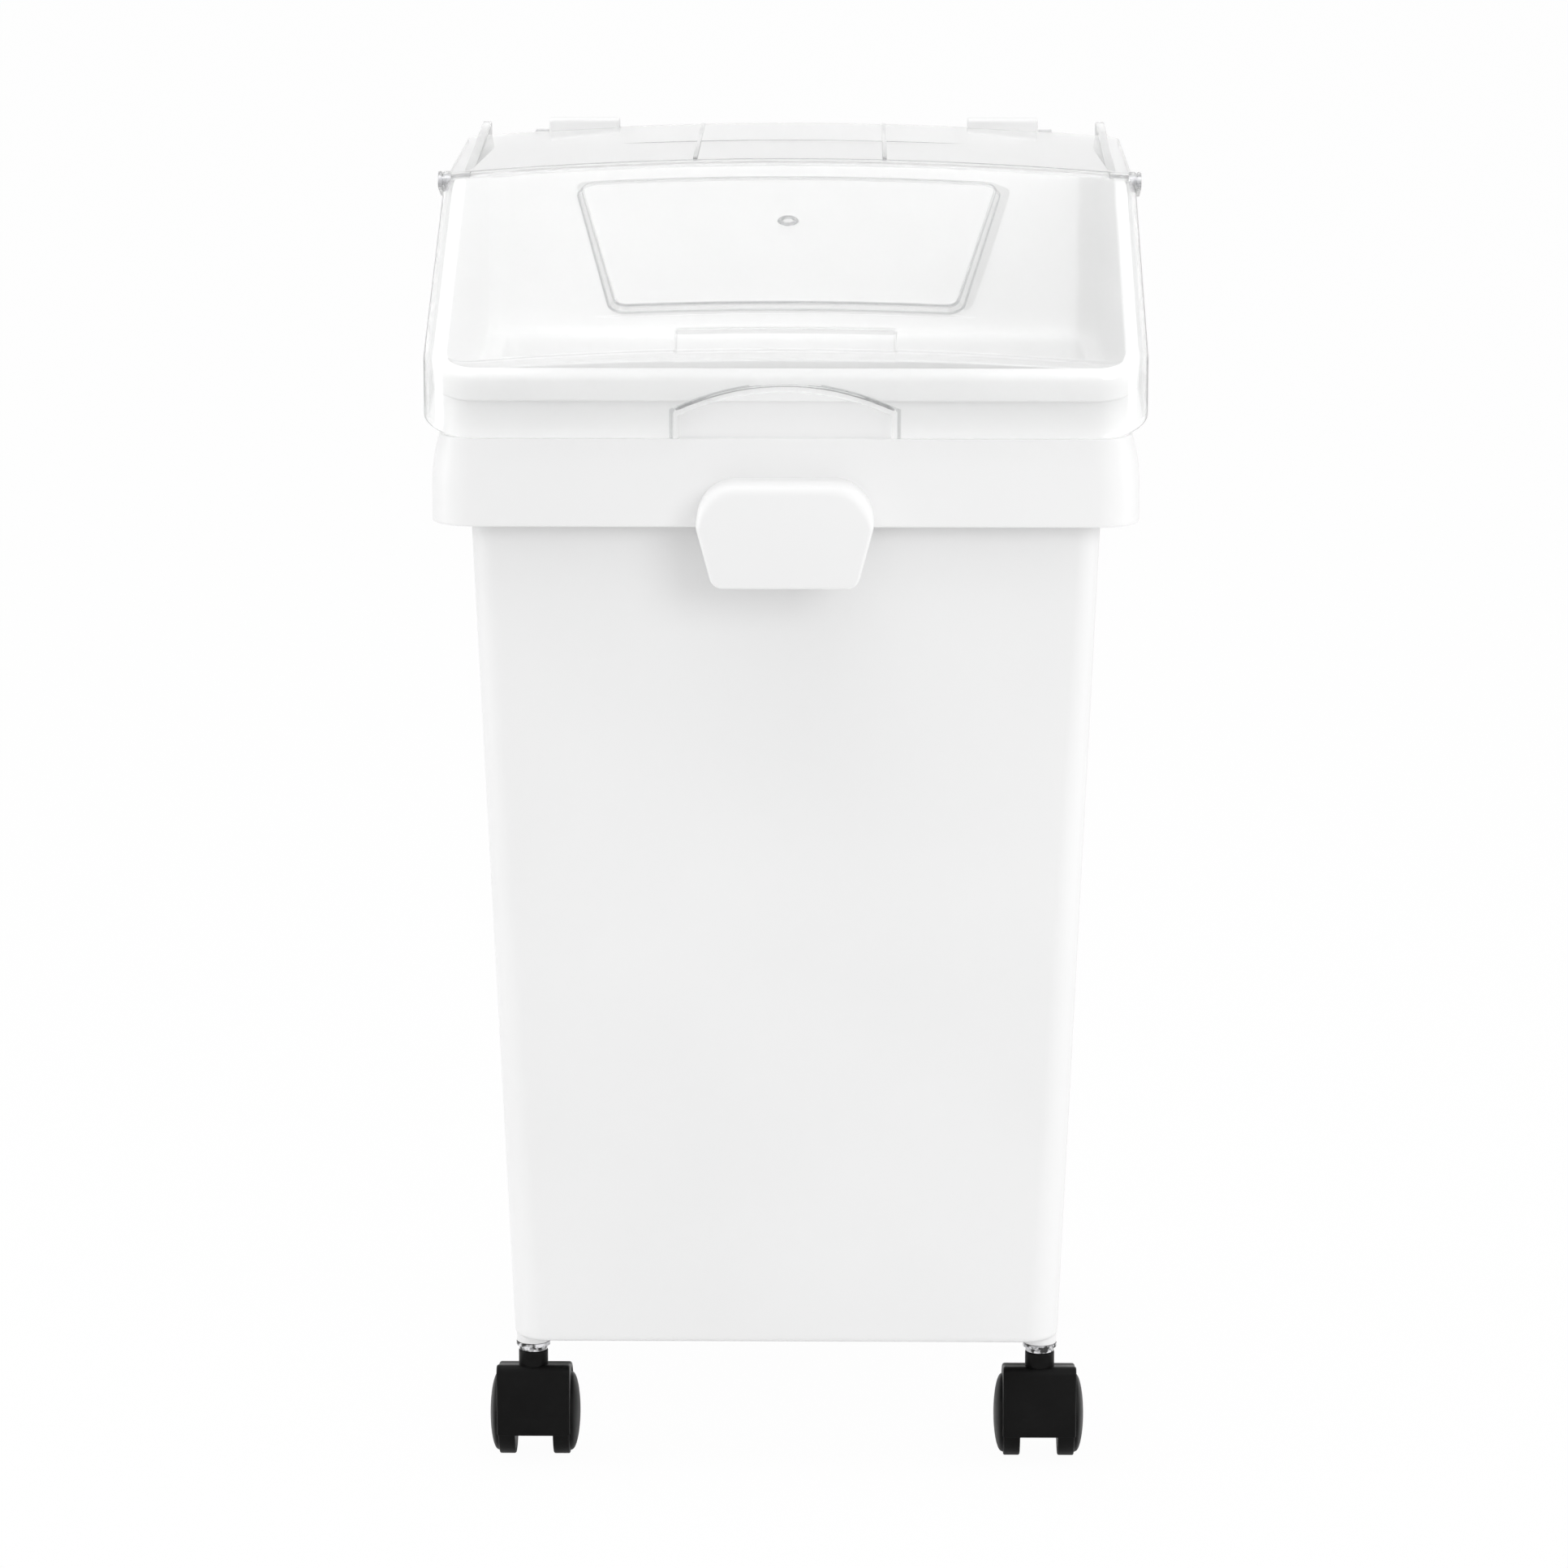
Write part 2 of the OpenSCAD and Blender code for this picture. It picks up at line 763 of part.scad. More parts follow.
// Fins near the cover's ends, which rise towards the back, and the two stiffening ribs
module cover_fins() {
  from = cover_skirt_y + 2;
  to = rim_y - over;
  low_z = lid_top_z - lid_t / 2;
  top_z = lid_top_z + fin_h;
  fin_x = cover_x - fin_in;
  for (s = [-1, 1])
    along_x(s * fin_x - fin_t / 2, s * fin_x + fin_t / 2)
      polygon(rounded(
        [[from, low_z], [to, low_z], [to, top_z], [to - fin_t, top_z], [from, lid_top_z + over]],
        [0, 0, fin_t / 2, fin_t / 2, 0]
      ));
  intersection() {
    for (s = [-1, 1])
      translate([s * rib_span / 2 - rib_w / 2, cover_y + rib_in, rim_z])
        cube([rib_w, rim_y - cover_y - 3 * rib_in, skirt_h]);
    difference() {
      below_roof(lid_d + rib_h);
      below_roof(seat_gap + lid_t / 2);
    }
  }
}

// One pivot ear with its joggle from the cover's skirt, on side s
module cover_ear(s) {
  step_t = ear_x + ear_t - cover_x + lid_t;
  joggle = 8;
  end_y = cover_skirt_y + joggle;
  low_z = pivot_z - 2 * ear_r;
  top_z = lid_top_z - lid_t / 2;
  ear_end = s * (ear_x + ear_t);
  along_x(min(s * ear_x, ear_end), max(s * ear_x, ear_end)) {
    translate([pivot_y, pivot_z])
      circle(r = ear_r);
    polygon([
      [pivot_y, pivot_z - ear_r], [cover_skirt_y, low_z], [end_y, low_z],
      [end_y, top_z], [cover_skirt_y - joggle, top_z], [pivot_y, pivot_z + ear_r]
    ]);
  }
  along_x(min(ear_end - s * step_t, ear_end), max(ear_end - s * step_t, ear_end))
    translate([cover_skirt_y, low_z])
      square([joggle, top_z - low_z]);
}

module rear_cover() {
  notch_y = hinge_y - block_t / 2 - 9;
  color(CLEAR)
    difference() {
      union() {
        intersection() {
          union() {
            difference() {
              linear_extrude(far)
                cover_plan(0);
              below_roof(seat_gap);
            }
            // closes the crown's gap over the back rim
            translate([-rim_x + rim_r, rim_y - lid_t, rim_z + seat_gap])
              cube([2 * (rim_x - rim_r), lid_t, crown + lid_t]);
            cover_knuckles();
            // side skirts
            for (s = [-1, 1])
              translate([s * (cover_x - lid_t / 2) - lid_t / 2, cover_skirt_y, lid_top_z - skirt_h])
                cube([lid_t, rim_y - rim_r - cover_skirt_y, skirt_h + crown]);
          }
          below_roof(lid_d);
        }
        cover_fins();
        for (s = [-1, 1])
          cover_ear(s);
      }
      // room for the hinge blocks
      for (s = [-1, 1])
        translate([s * block_span / 2 - block_w / 2 - side_gap, notch_y, rim_z - bead_h])
          cube([block_w + 2 * side_gap, far, far]);
      translate([-far / 2, hinge_y, hinge_z])
        rotate([0, 90, 0])
          cylinder(r = hinge_pin_r + run_gap, h = far);
      translate([-far / 2, pivot_y, pivot_z])
        rotate([0, 90, 0])
          cylinder(r = pivot_pin_r - press, h = far);
    }
}

// Pivot pin on side s, flush with the outside of the ear
module lid_pivot_pin(s) {
  outer = ear_x + ear_t;
  inner = lid_x - lid_t - 0.8 * lid_boss;
  color(STEEL)
    translate([s > 0 ? inner : -outer, pivot_y, pivot_z])
      rotate([0, 90, 0])
        cylinder(r = pivot_pin_r, h = outer - inner);
}

module hinge_pin(s) {
  half = block_w / 2 + side_gap + knuckle_w;
  color(STEEL)
    translate([s * block_span / 2 - half, hinge_y, hinge_z])
      rotate([0, 90, 0])
        cylinder(r = hinge_pin_r, h = 2 * half);
}

// ---- Casters -----------------------------------------------------------------

// Stands its children at the stem of the corner on side sx and end sy
module at_corner(sx, sy) {
  translate([sx * (stem_x - max(sy, 0) * rear_in), sy * stem_y, 0])
    children();
}

module caster_stem() {
  color(STEEL) {
    translate([0, 0, neck_top - swivel_len])
      cylinder(r = swivel_r, h = swivel_len + shoulder_z - neck_top + over / 2);
    translate([0, 0, shoulder_z])
      cylinder(r = shoulder_r, h = shoulder_t);
    translate([0, 0, shoulder_z])
      cylinder(r = stem_r, h = stem_top - shoulder_z);
  }
}

module outer_washers() {
  color(STEEL)
    at_stems()
      translate([0, 0, washer_z])
        difference() {
          cylinder(r = washer_r, h = washer_t);
          translate([0, 0, -over])
            cylinder(r = stem_r + hole_gap, h = washer_t + 2 * over);
        }
}

module inner_washers() {
  color(STEEL)
    at_stems()
      translate([0, 0, floor_z])
        difference() {
          cylinder(r = inner_washer_r, h = inner_washer_t);
          translate([0, 0, -over])
            cylinder(r = stem_r + hole_gap, h = inner_washer_t + 2 * over);
        }
}

module stem_nuts() {
  color(STEEL)
    at_stems()
      translate([0, 0, floor_z + inner_washer_t])
        difference() {
          rotate(30)
            cylinder(r = nut_af / 2 / cos(30), h = nut_h, $fn = 6);
          translate([0, 0, -over])
            cylinder(r = stem_r + run_gap, h = nut_h + 2 * over);
        }
}

// Side outline of the hood, from the axle: round, with a shoulder that rises to the neck
module hood_side() {
  circle(r = hood_r);
  polygon(rounded(
    [[0, 0], [-shoulder_out, 0], [-shoulder_out, shoulder_up], [0, hood_r]],
    [0, 0, hood_corner_r, 0]
  ));
}

// Side outline, from the axle, of what the web and the hood may fill
module frame_span() {
  polygon([
    [-far, -hood_drop], [0.35 * hood_back, -hood_drop], [0.65 * hood_back, hood_back_z - 9],
    [hood_back, hood_back_z], [hood_back, far], [-far, far]
  ]);
}

module caster_frame() {
  color(BLACK)
    difference() {
      union() {
        translate([0, trail, axle_z]) {
          along_x(-web_w / 2, web_w / 2)
            intersection() {
              hood_side();
              frame_span();
            }
          along_x(-hood_w / 2, hood_w / 2)
            intersection() {
              difference() {
                hood_side();
                circle(r = hood_r - hood_t);
              }
              frame_span();
            }
        }
        translate([0, 0, axle_z])
          cylinder(r = neck_r, h = neck_top - axle_z);
      }
      translate([0, 0, neck_top - swivel_len - swivel_gap])
        cylinder(r = swivel_r + run_gap, h = swivel_len + over);
      translate([-web_w, trail, axle_z])
        rotate([0, 90, 0])
          cylinder(r = axle_r - press, h = 2 * web_w);
    }
}

module caster_axle() {
  color(STEEL)
    translate([-axle_half, trail, axle_z])
      rotate([0, 90, 0])
        cylinder(r = axle_r, h = 2 * axle_half);
}

// One wheel on side s of the web, domed outside
module caster_wheel(s) {
  edge = 1;
  steps = 8;
  dome_h = wheel_w - tread_w - edge;
  dome = [
    for (k = [0 : steps])
      let (t = 90 * k / steps)
      [dome_r * cos(t), tread_w + edge + dome_h * sin(t)]
  ];
  color(BLACK)
    translate([s * wheel_in, trail, axle_z])
      rotate([0, s * 90, 0])
        difference() {
          rotate_extrude()
            polygon(concat(
              [
                [0, 0], [wheel_r - edge, 0], [wheel_r, edge], [wheel_r, tread_w - edge],
                [wheel_r - edge, tread_w], [dome_r + edge / 2, tread_w + edge]
              ],
              dome
            ));
          translate([0, 0, -over])
            cylinder(r = axle_r + run_gap, h = axle_half - wheel_in + over + swivel_gap);
        }
}

tub();
rear_cover();
flip_lid();
lid_pivot_pin(-1);  // left_lid_pivot_pin
lid_pivot_pin(1);  // right_lid_pivot_pin
hinge_pin(-1);  // left_hinge_pin
hinge_pin(1);  // right_hinge_pin
at_corner(-1, -1) caster_stem();  // front_left_caster_stem
at_corner(1, -1) caster_stem();  // front_right_caster_stem
at_corner(-1, 1) caster_stem();  // rear_left_caster_stem
at_corner(1, 1) caster_stem();  // rear_right_caster_stem
outer_washers();
inner_washers();
stem_nuts();
at_corner(-1, -1) caster_frame();  // front_left_caster_frame
at_corner(1, -1) caster_frame();  // front_right_caster_frame
at_corner(-1, 1) caster_frame();  // rear_left_caster_frame
at_corner(1, 1) caster_frame();  // rear_right_caster_frame
at_corner(-1, -1) caster_axle();  // front_left_axle
at_corner(1, -1) caster_axle();  // front_right_axle
at_corner(-1, 1) caster_axle();  // rear_left_axle
at_corner(1, 1) caster_axle();  // rear_right_axle
at_corner(-1, -1) caster_wheel(-1);  // front_left_outer_wheel
at_corner(-1, -1) caster_wheel(1);  // front_left_inner_wheel
at_corner(1, -1) caster_wheel(-1);  // front_right_inner_wheel
at_corner(1, -1) caster_wheel(1);  // front_right_outer_wheel
at_corner(-1, 1) caster_wheel(-1);  // rear_left_outer_wheel
at_corner(-1, 1) caster_wheel(1);  // rear_left_inner_wheel
at_corner(1, 1) caster_wheel(-1);  // rear_right_inner_wheel
at_corner(1, 1) caster_wheel(1);  // rear_right_outer_wheel
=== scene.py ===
import json
import math

import bmesh
import bpy
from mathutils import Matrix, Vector


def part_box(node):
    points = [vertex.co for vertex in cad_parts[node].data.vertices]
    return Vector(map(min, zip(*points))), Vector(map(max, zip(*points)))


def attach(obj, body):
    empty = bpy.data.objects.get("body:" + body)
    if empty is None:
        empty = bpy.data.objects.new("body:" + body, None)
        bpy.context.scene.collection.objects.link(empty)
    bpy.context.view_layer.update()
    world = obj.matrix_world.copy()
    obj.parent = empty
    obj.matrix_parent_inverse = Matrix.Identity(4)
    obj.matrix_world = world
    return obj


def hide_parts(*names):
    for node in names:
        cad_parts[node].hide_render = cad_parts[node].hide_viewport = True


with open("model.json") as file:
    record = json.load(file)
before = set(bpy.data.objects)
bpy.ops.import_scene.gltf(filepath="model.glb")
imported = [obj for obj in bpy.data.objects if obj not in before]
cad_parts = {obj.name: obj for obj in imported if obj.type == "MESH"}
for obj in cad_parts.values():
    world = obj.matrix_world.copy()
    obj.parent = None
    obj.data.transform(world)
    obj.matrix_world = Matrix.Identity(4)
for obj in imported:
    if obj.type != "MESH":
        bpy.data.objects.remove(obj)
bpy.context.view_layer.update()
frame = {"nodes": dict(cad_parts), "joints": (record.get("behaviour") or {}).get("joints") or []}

# Lengths are millimetres until a mesh is made. The frame is the part's own:
# origin on the floor under the tub, +Z up, front towards -Y.
MM = 0.001

# ---- Sizes read from the frame ----


def node_box(name):
    low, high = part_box(name)
    return low / MM, high / MM


LID_LOW, LID_HIGH = node_box("flip_lid")
JOINT_AT = {j["name"]: Vector(j["pos_m"]) / MM for j in frame["joints"]}
HINGE = JOINT_AT["rear_cover_hinge"]
PIVOT = JOINT_AT["flip_lid_hinge"]

# ---- Driving dimensions ----

BODY_X, BODY_Y = 178.5, 195.0       # half sizes of the body at the shelf
BODY_DRAFT = math.tan(math.radians(2.28))
SHELF_Z = 614.0
WALL = 3.0
BASE_Z = 80.0
FLOOR_Z = 84.0
COLLAR_Z = 564.0
COLLAR_OUT = 15.0                   # collar beyond the body's top
GRIP_OUT = 19.5                     # side grips beyond the body's top
FLARE_LOW, FLARE_MID = 590.0, 602.0
NECK_OUT = 13.0
BEAD_OUT = 18.0
BEAD_H = 15.5
RIM_FRONT_Z, RIM_Z = 650.0, 733.0
RIM_Y = BODY_Y + BEAD_OUT
CREST_Y = -2.0
SLOPE = math.atan2(RIM_Z - RIM_FRONT_Z, CREST_Y + RIM_Y)

LID_T = 2.5
SEAT_GAP = 0.4
RUN_GAP = 0.5                       # beside parts that move
LID_X = LID_HIGH.x
LID_FRONT_Y = -RIM_Y - 3.0
LID_TAIL_Y = LID_HIGH.y
LID_R = 28.5
LID_UP = SEAT_GAP + LID_T
CROWN = 9.0
CROWN_R = (LID_X ** 2 + CROWN ** 2) / (2 * CROWN)
SKIRT_H = 37.0
FOLD_R = 7.0                        # outer radius of the lid's folded edges

CORNERS = {"front_left": (-1, -1), "front_right": (1, -1),
           "rear_left": (-1, 1), "rear_right": (1, 1)}

COVER_X = 200.5
COVER_FRONT_Y = 12.8
COVER_R = 6.0

# ---- Mesh helpers ----


def lerp(a, b, t):
    return a + (b - a) * t


def smooth_step(t):
    t = min(max(t, 0.0), 1.0)
    return t * t * (3 - 2 * t)


def soft_min(a, b, k):
    """The smaller of two heights, eased where they meet over about k."""
    d = abs(a - b)
    return min(a, b) - k * math.log1p(math.exp(-d / k))


def mesh_object(name, verts, faces, weld=1e-3):
    """A shaded object from points in millimetres."""
    mesh = bpy.data.meshes.new(name)
    mesh.from_pydata([Vector(v) * MM for v in verts], [], faces)
    bm = bmesh.new()
    bm.from_mesh(mesh)
    bmesh.ops.remove_doubles(bm, verts=bm.verts, dist=weld * MM)
    bmesh.ops.dissolve_degenerate(bm, edges=bm.edges, dist=1e-7)
    bmesh.ops.recalc_face_normals(bm, faces=bm.faces)
    bm.to_mesh(mesh)
    bm.free()
    obj = bpy.data.objects.new(name, mesh)
    bpy.context.scene.collection.objects.link(obj)
    return obj


def apply_modifiers(obj):
    graph = bpy.context.evaluated_depsgraph_get()
    mesh = bpy.data.meshes.new_from_object(obj.evaluated_get(graph))
    obj.modifiers.clear()
    old = obj.data
    obj.data = mesh
    bpy.data.meshes.remove(old)
    return obj


def smooth(obj, angle):
    """Smooth shading with sharp edges above an angle, baked into the mesh."""
    for poly in obj.data.polygons:
        poly.use_smooth = True
    obj.data.set_sharp_from_angle(angle=math.radians(angle))
    return obj


def bevel(obj, width, segments, angle):
    mod = obj.modifiers.new("bevel", "BEVEL")
    mod.width = width * MM
    mod.segments = segments
    mod.limit_method = "ANGLE"
    mod.angle_limit = math.radians(angle)
    mod.harden_normals = False
    mod.use_clamp_overlap = True
    return apply_modifiers(obj)


def face_up(obj):
    """Turns a whole sheet over if its faces look down on balance."""
    total = sum(poly.normal.z * poly.area for poly in obj.data.polygons)
    if total < 0:
        obj.data.flip_normals()


def mark_edges(obj, chosen):
    """Gives the faces that chosen picks, by their centre in millimetres, the second material,
    and with it the sheet's cut edges once it is solid. The second material is a greyer
    copy that paints shade lines there."""
    for _ in range(2):
        obj.data.materials.append(None)
    for poly in obj.data.polygons:
        poly.material_index = int(chosen(poly.center / MM))


def solidify(obj, thickness):
    """Gives a sheet its thickness, all of it under the sheet."""
    face_up(obj)
    mod = obj.modifiers.new("solidify", "SOLIDIFY")
    mod.thickness = thickness * MM
    mod.offset = -1.0
    mod.use_even_offset = False
    # The rim faces take the second material, painted shade along the sheet's cut edges.
    mod.material_offset_rim = 1
    return apply_modifiers(obj)


def cut(obj, *tools):
    """Takes other closed meshes out of obj and deletes them."""
    for tool in tools:
        mod = obj.modifiers.new("cut", "BOOLEAN")
        mod.operation = "DIFFERENCE"
        mod.solver = "EXACT"
        mod.object = tool
        apply_modifiers(obj)
    for tool in tools:
        bpy.data.objects.remove(tool)
    return obj


def join(name, objs):
    """One object from several."""
    bm = bmesh.new()
    for o in objs:
        bm.from_mesh(o.data)
    mesh = bpy.data.meshes.new(name)
    bm.to_mesh(mesh)
    bm.free()
    for o in objs:
        bpy.data.objects.remove(o)
    obj = bpy.data.objects.new(name, mesh)
    bpy.context.scene.collection.objects.link(obj)
    return obj


def strip_faces(n_rows, n_cols, start=0, closed=False, keep=None):
    """Quads between successive rows of points, laid out row by row."""
    faces = []
    for i in range(n_rows - 1):
        for j in range(n_cols if closed else n_cols - 1):
            if keep and not keep(i, j):
                continue
            k = (j + 1) % n_cols
            a, b = start + i * n_cols, start + (i + 1) * n_cols
            faces.append((a + j, a + k, b + k, b + j))
    return faces


def tube_faces(n_rings, n):
    """The sides and both flat ends of a solid made of rings of n points."""
    last = (n_rings - 1) * n
    ends = [tuple(reversed(range(n))), tuple(range(last, last + n))]
    return strip_faces(n_rings, n, closed=True) + ends


def round_line(points, radii, segments=4):
    """Points of any number of axes through a line whose corners are eased. Distances
    are taken over the first and the fourth axis, or over all when there are fewer."""
    def span(a, b):
        d = [q - p for p, q in zip(a, b)]
        return math.hypot(d[0], d[3]) if len(d) > 3 else math.hypot(*d)

    out = [tuple(points[0])]
    support = 0.6
    for i in range(1, len(points) - 1):
        a, p, b = points[i - 1], points[i], points[i + 1]
        r = radii[i]
        if r <= 0:
            out.append(tuple(p))
            continue
        da, db = span(p, a), span(p, b)
        r = min(r, 0.48 * da, 0.48 * db)

        def towards(q, d, dist):
            return tuple(lerp(m, n, dist / d) for m, n in zip(p, q))

        if r + support < 0.49 * da:
            out.append(towards(a, da, r + support))
        s, e = towards(a, da, r), towards(b, db, r)
        for k in range(segments + 1):
            t = k / segments
            out.append(tuple(
                (1 - t) ** 2 * u + 2 * t * (1 - t) * m + t * t * v
                for u, m, v in zip(s, p, e)
            ))
        if r + support < 0.49 * db:
            out.append(towards(b, db, r + support))
    out.append(tuple(points[-1]))
    return out


def lathe(name, profile, centre, axis="z", segments=96):
    """A turned solid from (radius, height) points, about an axis through centre."""
    verts = []
    for r, h in profile:
        for k in range(segments):
            t = 2 * math.pi * k / segments
            u, v = r * math.cos(t), r * math.sin(t)
            point = {"z": (u, v, h), "x": (h, u, v)}[axis]
            verts.append(Vector(point) + Vector(centre))
    return mesh_object(name, verts, tube_faces(len(profile), segments))


def prism(name, outline, low, high, axis):
    """A solid drawn as an outline and run along an axis from low to high."""
    place = {
        "x": lambda p, d: (d, p[0], p[1]),
        "y": lambda p, d: (p[0], d, p[1]),
        "z": lambda p, d: (p[0], p[1], d),
    }[axis]
    verts = [place(p, d) for d in (low, high) for p in outline]
    return mesh_object(name, verts, tube_faces(2, len(outline)))


def box_prism(name, x0, x1, y0, y1, z0, z1):
    return prism(name, [(x0, y0), (x1, y0), (x1, y1), (x0, y1)], z0, z1, "z")


def rounded_outline(points, radii, segments):
    """A closed outline in two axes with each corner rounded to its radius."""
    out = []
    n = len(points)
    for i in range(n):
        a, p, b = (Vector(points[k % n]) for k in (i - 1, i, i + 1))
        r = radii[i]
        if r <= 0:
            out.append(tuple(p))
            continue
        u, v = (a - p).normalized(), (b - p).normalized()
        half = math.acos(max(-1.0, min(1.0, u.dot(v)))) / 2
        m = p + (u + v).normalized() * (r / math.sin(half))
        s = p + u * (r / math.tan(half)) - m
        e = p + v * (r / math.tan(half)) - m
        start = math.atan2(s.y, s.x)
        turn = (math.atan2(e.y, e.x) - start + math.pi) % (2 * math.pi) - math.pi
        for k in range(segments + 1):
            t = start + turn * k / segments
            out.append((m.x + r * math.cos(t), m.y + r * math.sin(t)))
    return out


# ---- Materials ----


def new_material(name, colour, roughness, **sockets):
    mat = bpy.data.materials.new(name)
    mat.use_nodes = True
    bsdf = mat.node_tree.nodes["Principled BSDF"]
    bsdf.inputs["Base Color"].default_value = (*colour, 1)
    bsdf.inputs["Roughness"].default_value = roughness
    for key, value in sockets.items():
        bsdf.inputs[key.replace("_", " ")].default_value = value
    return mat, mat.node_tree, bsdf


def add_node(tree, kind, values=None, **settings):
    node = tree.nodes.new(kind)
    for key, value in settings.items():
        setattr(node, key, value)
    for key, value in (values or {}).items():
        node.inputs[key].default_value = value
    return node


def math_node(tree, operation, a, b=0.0):
    """A number worked out from two others, each an output of a node or a constant."""
    node = add_node(tree, "ShaderNodeMath", operation=operation)
    for value, socket in zip((a, b), node.inputs):
        if isinstance(value, float):
            socket.default_value = value
        else:
            tree.links.new(value, socket)
    return node.outputs[0]


def object_coords(tree, output="Object"):
    return add_node(tree, "ShaderNodeTexCoord").outputs[output]


def mix_shaders(tree, factor, plain, other):
    """Makes the material plain where factor is zero and other where it is one."""
    mix = add_node(tree, "ShaderNodeMixShader")
    out = next(node for node in tree.nodes if node.type == "OUTPUT_MATERIAL")
    tree.links.new(factor, mix.inputs["Fac"])
    tree.links.new(plain, mix.inputs[1])
    tree.links.new(other, mix.inputs[2])
    tree.links.new(mix.outputs["Shader"], out.inputs["Surface"])


def noise(tree, coord, scale, detail, rough=0.5):
    node = add_node(tree, "ShaderNodeTexNoise",
                    {"Scale": scale, "Detail": detail, "Roughness": rough})
    tree.links.new(coord, node.inputs["Vector"])
    return node.outputs["Fac"]


def remap(tree, value, low, high, from_low=0.3, from_high=0.7):
    node = add_node(tree, "ShaderNodeMapRange", {
        "From Min": from_low, "From Max": from_high, "To Min": low, "To Max": high})
    tree.links.new(value, node.inputs["Value"])
    return node.outputs["Result"]


def colour_mix(tree, factor, a, b):
    """A colour between two others, each an output of a node or a constant."""
    node = add_node(tree, "ShaderNodeMix", data_type="RGBA")
    tree.links.new(factor, node.inputs[0])
    for value, socket in ((a, node.inputs[6]), (b, node.inputs[7])):
        if isinstance(value, tuple):
            socket.default_value = (*value, 1)
        else:
            tree.links.new(value, socket)
    return node.outputs[2]


def add_bump(tree, bsdf, heights):
    """Bumps from (height, strength, distance in millimetres), laid over each other."""
    normal = None
    for height, strength, distance in heights:
        node = add_node(tree, "ShaderNodeBump",
                        {"Strength": strength, "Distance": distance * MM})
        tree.links.new(height, node.inputs["Height"])
        if normal:
            tree.links.new(normal, node.inputs["Normal"])
        normal = node.outputs["Normal"]
    tree.links.new(normal, bsdf.inputs["Normal"])


def white_plastic():
    mat, tree, bsdf = new_material("tub_white_plastic", (0.88, 0.88, 0.88), 0.4,
                                   IOR=1.5, Specular_IOR_Level=0.4)
    at = object_coords(tree)
    broad = noise(tree, at, 6.0, 2.0)
    fine = noise(tree, at, 420.0, 4.0, 0.6)
    grain = noise(tree, at, 1500.0, 2.0)
    tree.links.new(colour_mix(tree, remap(tree, broad, 0, 1), (0.865, 0.865, 0.865),
                              (0.89, 0.89, 0.89)), bsdf.inputs["Base Color"])
    tree.links.new(remap(tree, fine, 0.34, 0.46), bsdf.inputs["Roughness"])
    add_bump(tree, bsdf, [(broad, 0.05, 2.0), (fine, 0.12, 0.05), (grain, 0.1, 0.02)])
    return mat


def edge_on_shade_mask(tree):
    """Rises from zero to one where the plastic is seen edge on, sooner on its sides. It sets
    where painted shade darkens the clear plastic's colour.
    """
    facing = add_node(tree, "ShaderNodeLayerWeight", {"Blend": 0.5}).outputs["Facing"]
    across = add_node(tree, "ShaderNodeSeparateXYZ")
    tree.links.new(object_coords(tree, "Normal"), across.inputs[0])
    sideways = math_node(tree, "ABSOLUTE", across.outputs["X"])
    side = math_node(tree, "MULTIPLY", remap(tree, sideways, 0, 1, 0.85, 0.95),
                     remap(tree, facing, 0, 1, 0.65, 0.9))
    return math_node(tree, "MAXIMUM", remap(tree, facing, 0, 1, 0.9, 1.0), side)


def clear_plastic(name, pale, painted_edge_shade, passes):
    """Clear plastic whose colour turns from pale to a painted dark shade where it is seen edge
    on, standing in for the dark lines its edges show by refraction and reflection.
    """
    mat, tree, bsdf = new_material(name, pale, 0.04, IOR=1.49,
                                   Transmission_Weight=passes, Specular_IOR_Level=0.6)
    at = object_coords(tree)
    broad = noise(tree, at, 14.0, 2.0)
    fine = noise(tree, at, 260.0, 3.0)
    tone = colour_mix(tree, remap(tree, broad, 0, 1), tuple(c * 0.985 for c in pale), pale)
    # Painted shade: the colour darkens where the plastic is seen edge on.
    colour = colour_mix(tree, edge_on_shade_mask(tree), tone, painted_edge_shade)
    tree.links.new(colour, bsdf.inputs["Base Color"])
    tree.links.new(remap(tree, fine, 0.03, 0.07), bsdf.inputs["Roughness"])
    add_bump(tree, bsdf, [(broad, 0.06, 0.6), (fine, 0.04, 0.02)])
    path = add_node(tree, "ShaderNodeLightPath")
    clear = add_node(tree, "ShaderNodeBsdfTransparent", {"Color": (0.96, 0.96, 0.96, 1)})
    mix_shaders(tree, path.outputs["Is Shadow Ray"], bsdf.outputs["BSDF"],
                clear.outputs["BSDF"])
    return mat


def black_plastic(name, roughness, grain_scale):
    mat, tree, bsdf = new_material(name, (0.004, 0.004, 0.004), roughness,
                                   IOR=1.5, Specular_IOR_Level=0.1)
    at = object_coords(tree)
    broad = noise(tree, at, 30.0, 3.0)
    grain = noise(tree, at, grain_scale, 3.0, 0.6)
    tree.links.new(colour_mix(tree, remap(tree, broad, 0, 1), (0.002, 0.002, 0.002),
                              (0.005, 0.005, 0.005)), bsdf.inputs["Base Color"])
    tree.links.new(remap(tree, broad, roughness - 0.05, roughness + 0.08),
                   bsdf.inputs["Roughness"])
    add_bump(tree, bsdf, [(broad, 0.05, 0.3), (grain, 0.15, 0.03)])
    return mat


def bright_metal(name, colour, painted_reflection_colour, roughness):
    mat, tree, bsdf = new_material(name, colour, roughness, Metallic=1.0)
    at = object_coords(tree)
    broad = noise(tree, at, 90.0, 3.0)
    # Painted reflection: patches of a darker base colour break the metal's reflection into
    # bright and dark.
    painted_reflection_mask = remap(tree, noise(tree, at, 240.0, 2.0), 0, 1, 0.42, 0.58)
    fine = noise(tree, at, 1800.0, 2.0)
    tree.links.new(colour_mix(tree, painted_reflection_mask, painted_reflection_colour, colour), bsdf.inputs["Base Color"])
    tree.links.new(remap(tree, broad, roughness * 0.7, roughness * 1.5),
                   bsdf.inputs["Roughness"])
    add_bump(tree, bsdf, [(broad, 0.05, 0.1), (fine, 0.08, 0.01)])
    return mat


